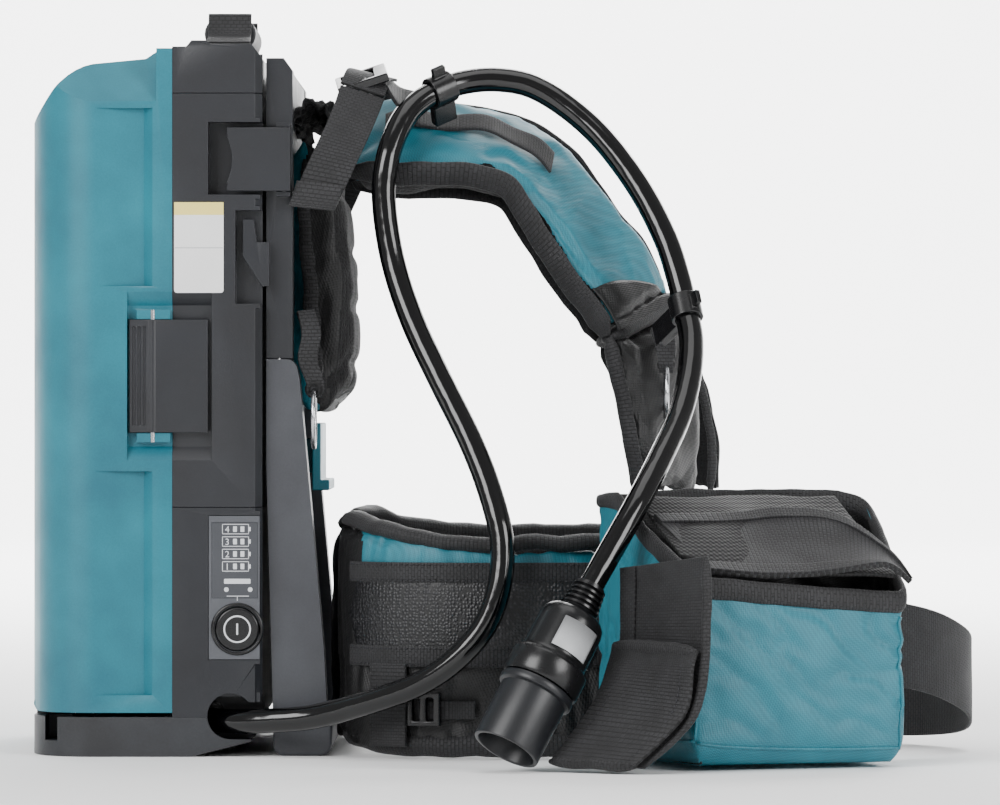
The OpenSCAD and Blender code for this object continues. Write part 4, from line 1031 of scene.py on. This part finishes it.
def make_lumbar():
    """Cushion behind the waist: mesh towards the wearer, one sewn line across, bound top."""
    piece = pads["lumbar_cushion"]
    press(piece, lambda p, n: -1.6 * math.exp(-((p.z - 70) / 4) ** 2) * (n.x > 0.3)
          + creases(p * 0.02, 1.3, 1.2))
    dress(piece, [SPACER, BLACK_CLOTH], lambda c, n: 0 if n.x > 0.4 else 1)
    low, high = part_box("lumbar_pad")
    middle = (low.x + high.x) / 2
    line = [Vector((middle, low.y + (high.y - low.y) * t / 24, high.z - 3 * MM)) for t in range(25)]
    roll("lumbar_top_binding", line, [Vector((0, 0, 1))] * 25, [Vector((1, 0, 0))] * 25, 5, 7.6, BINDING,
         pucker=1.2)


def make_back_cushion():
    """Mesh-faced cushion with teal sides, a bound edge and four sewn channels."""
    piece = pads["back_cushion"]
    low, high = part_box("back_pad")
    channels = [0.2, 0.4, 0.6, 0.8]

    def depth(p, n):
        t = (p.z * MM - low.z) / (high.z - low.z)
        groove = sum(math.exp(-((t - c) * (high.z - low.z) / MM / 4.5) ** 2) for c in channels)
        return -2.6 * groove * max(0.0, n.x) ** 3 * (abs(p.y) < 92) + creases(p * 0.02, 1.2, 1.0)

    press(piece, depth)

    def edge_x(z):
        return 75 + 8 * max(0.0, (300 - z) / 110)

    dress(piece, [SPACER, TEAL_CLOTH, BLACK_CLOTH],
          lambda c, n: 0 if n.x > 0.55 else (1 if c.x < edge_x(c.z) and abs(n.z) < 0.8 else 2))
    tree = tree_of(piece)
    for sign, label in ((-1, "right"), (1, "left")):
        line = smooth([[edge_x(z), sign * 104, z] for z in range(198, 352, 11)], 3)
        line = [laid_on(tree, p, Vector((0, sign, 0)), -1.2) for p in line]
        roll(f"back_cushion_{label}_binding", line, [Vector((1, 0, 0))] * len(line),
             [Vector((0, sign, 0))] * len(line), 5, 2.6, BINDING, pucker=1.8)


def make_crumpled_mesh():
    """Loose mesh gathered between the frame's head and the back cushion."""
    def place(u, v):
        y = -118 + 236 * v
        a = math.pi * (0.05 + 1.1 * u)
        crush = 1 + 0.5 * noise.noise(Vector((u * 5, y * 0.06, 1)))
        crush += 0.25 * noise.noise(Vector((u * 14, y * 0.2, 4)))
        wander = 3 * math.sin(y * 0.05)
        return mm(80 - 12.5 * crush * math.cos(a), y, 356 + 15 * crush * math.sin(a) + wander)

    piece = add_piece("gathered_mesh", sheet_mesh("gathered_mesh", 26, 150, place, (0.05, 0.236)), SPACER,
                      "pack", "black_fabric")
    thicken(piece, 1.2 * MM, -1.0)
    return piece


gathered = make_crumpled_mesh()
make_lumbar()
make_back_cushion()


# ---- Harness webbing --------------------------------------------------------------------

def make_lifters(sign, label):
    """Load lifter: the strap from the ladder lock to its sewn tail end."""
    def side(points):
        return [[x, y * sign, z] for x, y, z in points]

    front = [[120, -124, 374], [113, -134, 356], [104, -140, 336], [92, -144, 310]]
    rear = [[95, -124, 382], [89, -134, 364], [79, -141, 342], [66, -144, 313]]
    made = strap(f"lifter_tail_{label}", side(front), side(rear), 2, WEBBING)
    strap(f"lifter_fold_{label}", side([[96.5, -145, 324], [94, -146.4, 315], [92, -146.2, 309.6]]),
          side([[70.5, -145, 327], [68, -146.6, 318], [65.6, -146.2, 312.6]]), 2, WEBBING, steps=4)
    strap(f"lifter_anchor_{label}", side([[120, -94, 389], [128, -92, 382], [139, -88, 379.5]]),
          side([[120, -119, 383], [128, -117, 370], [139, -113, 360]]), 2, WEBBING, steps=4)
    strap(f"lifter_wrap_{label}",
          side([[95, -124, 383.5], [97, -117, 389], [99, -108, 392], [104, -98, 391.5]]),
          side([[120, -124, 375.5], [122, -117, 381.5], [124, -108, 385.5], [127, -98, 386]]),
          1.8, WEBBING, steps=4)
    return made


lifter = make_lifters(1, "right")
make_lifters(-1, "left")
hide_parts("lifter_straps")


def on_pad(slab, share, start, stop, lift, toward=1):
    """Points over a pad's face: share of the way across, stations start to stop."""
    return [list((slab.a[i].lerp(slab.b[i], share) + slab.face[i] * lift * MM * toward) / MM)
            for i in range(start, stop)]


def make_pad_webbing(slab, label, toward):
    """Lash webbing sewn down the pad's face, standing off in low loops."""
    lift = [4.2 + 1.6 * math.sin((i - 10) * 0.55) for i in range(10, 40)]
    upper, lower = [], []
    for k, i in enumerate(range(10, 40, 2)):
        upper += on_pad(slab, 0.36, i, i + 1, lift[2 * k], toward)
        lower += on_pad(slab, 0.58, i, i + 1, lift[2 * k], toward)
    strap(f"pad_webbing_{label}", upper, lower, 1.8, WEBBING, steps=3)


make_pad_webbing(right, "right", 1)
make_pad_webbing(left, "left", -1)


def make_handle():
    """The two ends of the handle's webbing, from the housing's top up into the grip."""
    z = 404.5
    for sign, label in ((-1, "right"), (1, "left")):
        points = [[0, 78, z + 4], [0, 70, z + 6.5], [0, 62, z + 7.5], [0, 56, z + 12], [0, 49, z + 22.3]]
        made = strap(f"handle_strap_{label}",
                     [[29 - 12.5 * sign, p[1] * sign, p[2]] for p in points],
                     [[29 + 12.5 * sign, p[1] * sign, p[2]] for p in points], 2, WEBBING)
        if sign < 0:
            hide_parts("handle_strap")


make_handle()


def make_ring_loops():
    """Folded webbing that the split rings hang in."""
    rear, front = [80, -132, 208.5], [281, -121, 222.5]
    loop = strap("ring_loop_rear", [[76, -132, 213], [75, -126, 222], [76, -114, 224]],
                 [[84, -132, 213], [85, -126, 222], [84, -114, 224]], 3, WEBBING, steps=4)
    strap("ring_loop_front", [[276, -121, 227], [275, -114, 233], [276, -100, 234]],
          [[286, -121, 227], [287, -114, 233], [286, -100, 234]], 3, WEBBING, steps=4)
    strap("ring_fold_rear",
          [[70, -130, 253], [73, -133, 240], [71, -135, 226], [76, -135, 211], [77, -133.5, 204]],
          [[80, -126, 254], [84, -131, 240], [82, -133, 226], [86, -134, 211], [84, -133.5, 204]],
          2.2, WEBBING, wave=1.6)
    strap("ring_fold_front",
          [[272, -118, 243], [274, -123, 235], [276, -125, 226], [277, -124, 218]],
          [[284, -116, 243], [286, -122, 235], [285, -125, 226], [285, -124, 218]],
          2.2, WEBBING, wave=1.2)
    for label, at in (("rear", rear), ("front", front)):
        bm = bmesh.new()
        profile = [(2.4, -4), (4.6, -4), (5.2, -2), (5.2, 2), (4.6, 4), (2.4, 4)]
        verts = [bm.verts.new((r, y, 0)) for r, y in profile]
        edges = [bm.edges.new(pair) for pair in zip(verts, verts[1:] + verts[:1])]
        bmesh.ops.spin(bm, geom=verts + edges, cent=(0, 0, 0), axis=(0, 1, 0), angle=2 * math.pi, steps=20,
                       use_merge=True)
        bmesh.ops.translate(bm, vec=at, verts=bm.verts)
        bmesh.ops.scale(bm, vec=(MM,) * 3, verts=bm.verts)
        bmesh.ops.recalc_face_normals(bm, faces=bm.faces)
        add_piece(f"ring_eye_{label}", mesh_from(bm, f"ring_eye_{label}"), CORDURA, slot="webbing")
    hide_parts("ring_loops")


make_ring_loops()

# Loop of belt webbing in front of the wearer: x, y, lower and upper edge
FRONT_LINE = [[311, -124, 40, 88], [350, -138, 42, 90], [392, -150, 42, 90], [428, -138, 36, 84],
              [452, -104, 24, 72], [457, -62, 12, 60], [440, -18, 6, 54], [404, 22, 5, 53],
              [356, 66, 12, 60], [322, 108, 24, 72], [311, 124, 40, 88]]
strap("waist_webbing", [[p[0], p[1], p[2]] for p in FRONT_LINE],
      [[p[0], p[1], p[3]] for p in FRONT_LINE], 2, WEBBING, steps=6, across=10, wave=0.8,
      replaces=["front_webbing"])


# ---- Pouch ------------------------------------------------------------------------------

# Plan of the pouch, from its inner near corner anticlockwise; the front panel is the second side
POUCH_PLAN = [(236, -190), (290, -312), (412, -264), (396, -176), (312, -149)]
POUCH_Z = (1, 151)
POUCH_FRONT_H = 100
POUCH_SLOPE = math.radians(27)
POUCH_TURN = math.radians(21.5)


def pouch_top(x, y):
    """Height of the pouch's rim over a point of its plan."""
    inward = (x - 290) * -math.sin(POUCH_TURN) + (y + 312) * math.cos(POUCH_TURN)
    reach = (x - 290) * math.cos(POUCH_TURN) + (y + 312) * math.sin(POUCH_TURN)
    sag = (6 - 11 * reach / 130) * max(0.0, 1 - inward / 60)
    return min(POUCH_Z[1], POUCH_FRONT_H + math.tan(POUCH_SLOPE) * inward + sag)


def rounded_outline(points, radius, count):
    """Evenly spaced points round a plan outline with rounded corners."""
    dense, n = [], len(points)
    for i in range(n):
        before, at, after = (Vector(points[(i + k) % n]) for k in (-1, 0, 1))
        r = min(radius, (before - at).length / 2, (after - at).length / 2)
        a, c = at + (before - at).normalized() * r, at + (after - at).normalized() * r
        for k in range(9):
            t = k / 8
            dense.append(a * (1 - t) ** 2 + at * 2 * t * (1 - t) + c * t * t)
    dense.append(dense[0])
    steps = [(q - p).length for p, q in zip(dense, dense[1:])]
    total, out, i, gone = sum(steps), [], 0, 0.0
    for k in range(count):
        want = total * k / count
        while gone + steps[i] < want:
            gone += steps[i]
            i += 1
        out.append(dense[i].lerp(dense[i + 1], (want - gone) / steps[i]))
    return out, total


def make_pouch():
    """The bag: soft panels that bulge between their seams, with a bound rim."""
    count, rows = 150, 44
    ring, total = rounded_outline(POUCH_PLAN, 9, count)
    middle = Vector((sum(p[0] for p in POUCH_PLAN), sum(p[1] for p in POUCH_PLAN))) / len(POUCH_PLAN)

    def normal_at(k):
        t = (ring[(k + 1) % count] - ring[(k - 1) % count]).normalized()
        return Vector((t.y, -t.x))

    def place(u, v):
        k = round(u * count) % count
        p, n = ring[k], normal_at(k)
        low = POUCH_Z[0] + 2
        z = low + (pouch_top(p.x, p.y) - 1.5 - low) * v
        tuck = 7 * max(0.0, 1 - v * 7) ** 2
        corner = min((p - Vector(c)).length for c in POUCH_PLAN)
        belly = 4.2 * math.sin(math.pi * min(1, v * 1.05)) * min(1.0, corner / 45)
        at = Vector((p.x, p.y, z))
        slant = Vector((at.x * 0.022 + at.z * 0.026, at.y * 0.03, at.z * 0.01 - at.x * 0.008))
        fold = 2.2 * noise.noise(slant) + creases(slant * 1.5 + Vector((4, 1, 7)), 1.0, 2.4)
        out = belly - tuck + fold * min(1.0, 4 * v, 5 * (1 - v) + 0.2) - 2.6
        return Vector((p.x + n.x * out, p.y + n.y * out, z)) * MM

    bm = bmesh.new()
    uv = bm.loops.layers.uv.new("UVMap")
    bmesh.ops.create_grid(bm, x_segments=count, y_segments=rows, size=0.5, calc_uvs=True)
    for vert in bm.verts:
        vert.co = place(vert.co.x + 0.5, vert.co.y + 0.5)
    bmesh.ops.remove_doubles(bm, verts=bm.verts, dist=1e-6)
    bottom = [e for e in bm.edges if e.is_boundary and all(v.co.z < 0.01 for v in e.verts)]
    bmesh.ops.holes_fill(bm, edges=bottom, sides=0)
    bmesh.ops.recalc_face_normals(bm, faces=bm.faces)
    pouch = add_piece("tool_pouch", mesh_from(bm, "tool_pouch"), [TEAL_CLOTH, BLACK_CLOTH], "pack",
                      "teal_fabric", ["pouch"])
    thicken(pouch, 1.5 * MM, -1.0)
    pouch.modifiers["thickness"].material_offset = 1
    # bound rim
    rim = [Vector((p.x, p.y, pouch_top(p.x, p.y) - 5)) * MM for p in ring] + \
        [Vector((ring[0].x, ring[0].y, pouch_top(*ring[0]) - 5)) * MM]
    outs = [Vector((*normal_at(k % count), 0)) for k in range(count + 1)]
    rim = [p - o * 2.6 * MM for p, o in zip(rim, outs)]
    roll("pouch_rim_binding", rim, [Vector((0, 0, 1))] * len(rim), outs, 6.2, 2.6, BINDING, pucker=1.0)
    # piped seams down the near corners and along the foot of the front panel
    tree = tree_of(pouch)

    def seam(label, path, radius=1.0):
        line = []
        for x, y, z in path:
            out = Vector((x - middle.x, y - middle.y, 0)).normalized()
            line.append(laid_on(tree, mm(x, y, z), out, 0.2))
        tube(f"pouch_seam_{label}", line, radius, TEAL_CLOTH, slot="teal_fabric", sides=8)

    for label, corner, foot in (("front_left", 1, 17), ("front_right", 2, 10)):
        x, y = POUCH_PLAN[corner]
        seam(label, [(x, y, foot + (pouch_top(x, y) - 12 - foot) * i / 24) for i in range(25)])
    (x0, y0), (x1, y1) = POUCH_PLAN[1], POUCH_PLAN[2]
    seam("foot", [(x0 + (x1 - x0) * t, y0 + (y1 - y0) * t, 17 - 9 * t ** 0.5 + 3 * t * t)
                  for t in [0.01 + i * 0.0327 for i in range(31)]])
    x2, y2 = POUCH_PLAN[0]
    seam("foot_side", [(x0 + (x2 - x0) * t, y0 + (y2 - y0) * t, 17 - 8 * t)
                       for t in [i / 30 for i in range(31)]])
    return pouch


pouch = make_pouch()


def make_flap():
    """Sloped black top of the pouch, and the wide webbing that crosses it."""
    along = Vector((math.cos(POUCH_TURN), math.sin(POUCH_TURN), 0))
    inward = Vector((-math.sin(POUCH_TURN) * math.cos(POUCH_SLOPE),
                     math.cos(POUCH_TURN) * math.cos(POUCH_SLOPE), math.sin(POUCH_SLOPE)))
    up = along.cross(inward)
    corner = Vector((290, -312, POUCH_FRONT_H))

    def place(u, v):
        reach = 4 + 120 * u
        deep = 6 + 92 * v
        left = max(0.0, 1 - reach / 42) * max(0.0, 1 - v * 1.6)
        at = corner + along * reach + inward * (deep + left * 26)
        hump = 3.5 * math.sin(math.pi * u) * math.sin(math.pi * v) + 2.4 * noise.noise(at * 0.03) + 3.2
        return (at + up * hump) * MM

    mesh = sheet_mesh("pouch_lid", 40, 34, place, (0.124, 0.092))
    lid = add_piece("pouch_lid", mesh, CORDURA, "pack", "black_fabric", ["pouch_flap"])
    thicken(lid, 2.2 * MM, 0.0, 0.4 * MM)

    def on_lid(reach, deep, lift):
        return list(corner + along * reach + inward * deep + up * lift)

    far = [(5, 75, 4), (50, 71, 7), (76, 67, 12), (106, 56, 14), (124, 22, 10), (131, 0, 3)]
    near = [(13, 12, 4), (41, 6, 4), (66, 5, 4), (90, 4, 7), (115, 3, 11), (129, -2, 3)]
    strap("pouch_cross_webbing", [on_lid(*p) for p in near], [on_lid(*p) for p in far], 2.2, WEBBING,
          across=18, wave=1.0)
    for label, edge, inner in (("near", near, far), ("far", far, near)):
        hem = [[e + (f - e) * 0.14 for e, f in zip(p, q)] for p, q in zip(edge, inner)]
        strap(f"cross_webbing_hem_{label}", [on_lid(a, b, c + 1.6) for a, b, c in edge],
              [on_lid(a, b, c + 1.6) for a, b, c in hem], 1.6, BINDING, wave=0.5)
    return lid


lid = make_flap()


def make_pouch_strap():
    """Closing strap of the lid: ribbed webbing, bound edges, and a folded tail."""
    near = [[298, -330, 118], [298, -330, 95], [297, -330, 62], [290, -332, 30], [264, -334, 3.5]]
    far = [[254, -264, 110], [254, -264, 90], [253, -267, 64], [243, -284, 40], [221, -306, 5.5]]
    made = strap("pouch_closure_strap", near, far, 2.4, WEBBING, steps=6, across=10, wave=0.8,
                 replaces=["pouch_strap"])

    outward = Vector((-0.83, -0.55, 0))

    def between(t, lift):
        """A line down the strap, t of the way from its near edge, lifted off its outside."""
        return [list(Vector(n).lerp(Vector(f), t) + outward * lift) for n, f in zip(near, far)]

    strap("strap_back_tape", between(0.82, 1.8), between(1.0, 1.8), 1.6, BINDING, wave=0.5)
    edge = smooth(between(0.0, 0.4), 6)
    side = (Vector(far[0]) - Vector(near[0])).normalized()
    roll("strap_edge_binding", edge, [side] * len(edge), [outward] * len(edge), 3.0, 2.6, BINDING,
         pucker=1.2)
    tail_near = [[296, -331, 66], [294, -332, 58], [289, -333, 32], [262, -334.5, 4]]
    tail_far = [[252, -270, 68], [250, -273, 58], [240, -287, 36], [217, -309, 6]]
    outer = [[[p[0] - 3.6, p[1] - 2.4, p[2]] for p in line] for line in (tail_near, tail_far)]
    strap("strap_tail_fold", outer[0], outer[1], 2.2, WEBBING, steps=6, across=10, wave=1.0)
    head = [Vector(outer[0][0]).lerp(Vector(outer[1][0]), t / 14) * MM for t in range(15)]
    roll("strap_tail_head", head, [Vector((0, 0, 1))] * 15, [outward] * 15, 4, 2.6, WEBBING, pucker=1.2)
    for label, t in (("near", 0.12), ("far", 0.86)):
        row = smooth([Vector(a).lerp(Vector(b), t) for a, b in zip(*outer)], 8)
        stitches(f"strap_tail_stitches_{label}", [[(p + outward * 1.2 * MM, outward) for p in row]],
                 THREAD, pitch=3.2, long=2.2)
    tip = [Vector(outer[0][-1]).lerp(Vector(outer[1][-1]), t / 14) * MM for t in range(15)]
    down = (Vector(outer[0][-1]) - Vector(outer[0][-2])).normalized()
    roll("strap_tip_binding", tip, [down] * 15, [Vector((-0.5, -0.4, 0.75))] * 15, 2.6, 3.4, BINDING,
         pucker=1.4)
    return made


make_pouch_strap()


# ---- Stage ------------------------------------------------------------------------------

def make_stage():
    """A pale floor that curves up into a wall behind, and broad soft lamps."""
    mat, shader = surface("pale_studio_sweep", 0.9)
    at = add(mat, "TexCoord").outputs["Object"]
    grain = add(mat, "TexNoise", {"Scale": 3.0}, {"Vector": at})
    two_tone(mat, shader, "#fbfbfb", "#ffffff", grain.outputs["Fac"])
    bm = bmesh.new()
    # the wall stands far enough back for a camera behind the object
    bend = [math.radians(a) for a in range(10, 91, 10)]
    profile = [(-9, 0), (6, 0)] + [(6 + 2 * math.sin(a), 2 - 2 * math.cos(a)) for a in bend] + [(8, 8)]
    verts = [bm.verts.new((-11, y, z)) for y, z in profile]
    edges = [bm.edges.new(pair) for pair in zip(verts, verts[1:])]
    made = bmesh.ops.extrude_edge_only(bm, edges=edges)["geom"]
    bmesh.ops.translate(bm, vec=(22, 0, 0), verts=[v for v in made if isinstance(v, bmesh.types.BMVert)])
    bmesh.ops.recalc_face_normals(bm, faces=bm.faces)
    floor = bpy.data.objects.new("studio_floor", mesh_from(bm, "studio_floor"))
    floor.data.materials.append(mat)
    SCENE.collection.objects.link(floor)
    # name, place, what it points at, side in metres, watts
    for name, place, aim, size, power in [
            ("key_left", (-1.9, -2.6, 2.0), (0.1, 0, 0.2), 2.0, 120),
            ("fill_right", (2.6, -2.4, 1.2), (0.2, 0, 0.2), 1.6, 70),
            ("top", (0.2, -0.6, 3.0), (0.2, 0, 0), 2.0, 24),
            ("back_rim", (1.2, 2.6, 2.0), (0.2, 0, 0.2), 1.6, 60),
            ("wall_wash", (0.2, 3.4, 4.6), (0.2, 8, 0.6), 3.0, 1500)]:
        lamp = bpy.data.lights.new(name, "AREA")
        lamp.size = size
        lamp.energy = power
        holder = bpy.data.objects.new(name, lamp)
        holder.location = place
        holder.rotation_euler = (Vector(aim) - Vector(place)).to_track_quat("-Z", "Y").to_euler()
        SCENE.collection.objects.link(holder)
    world = bpy.data.worlds.new("studio_white")
    SCENE.world = world
    world.use_nodes = True
    world.node_tree.nodes["Background"].inputs["Color"].default_value = (1, 1, 1, 1)
    world.node_tree.nodes["Background"].inputs["Strength"].default_value = 0.42


make_stage()
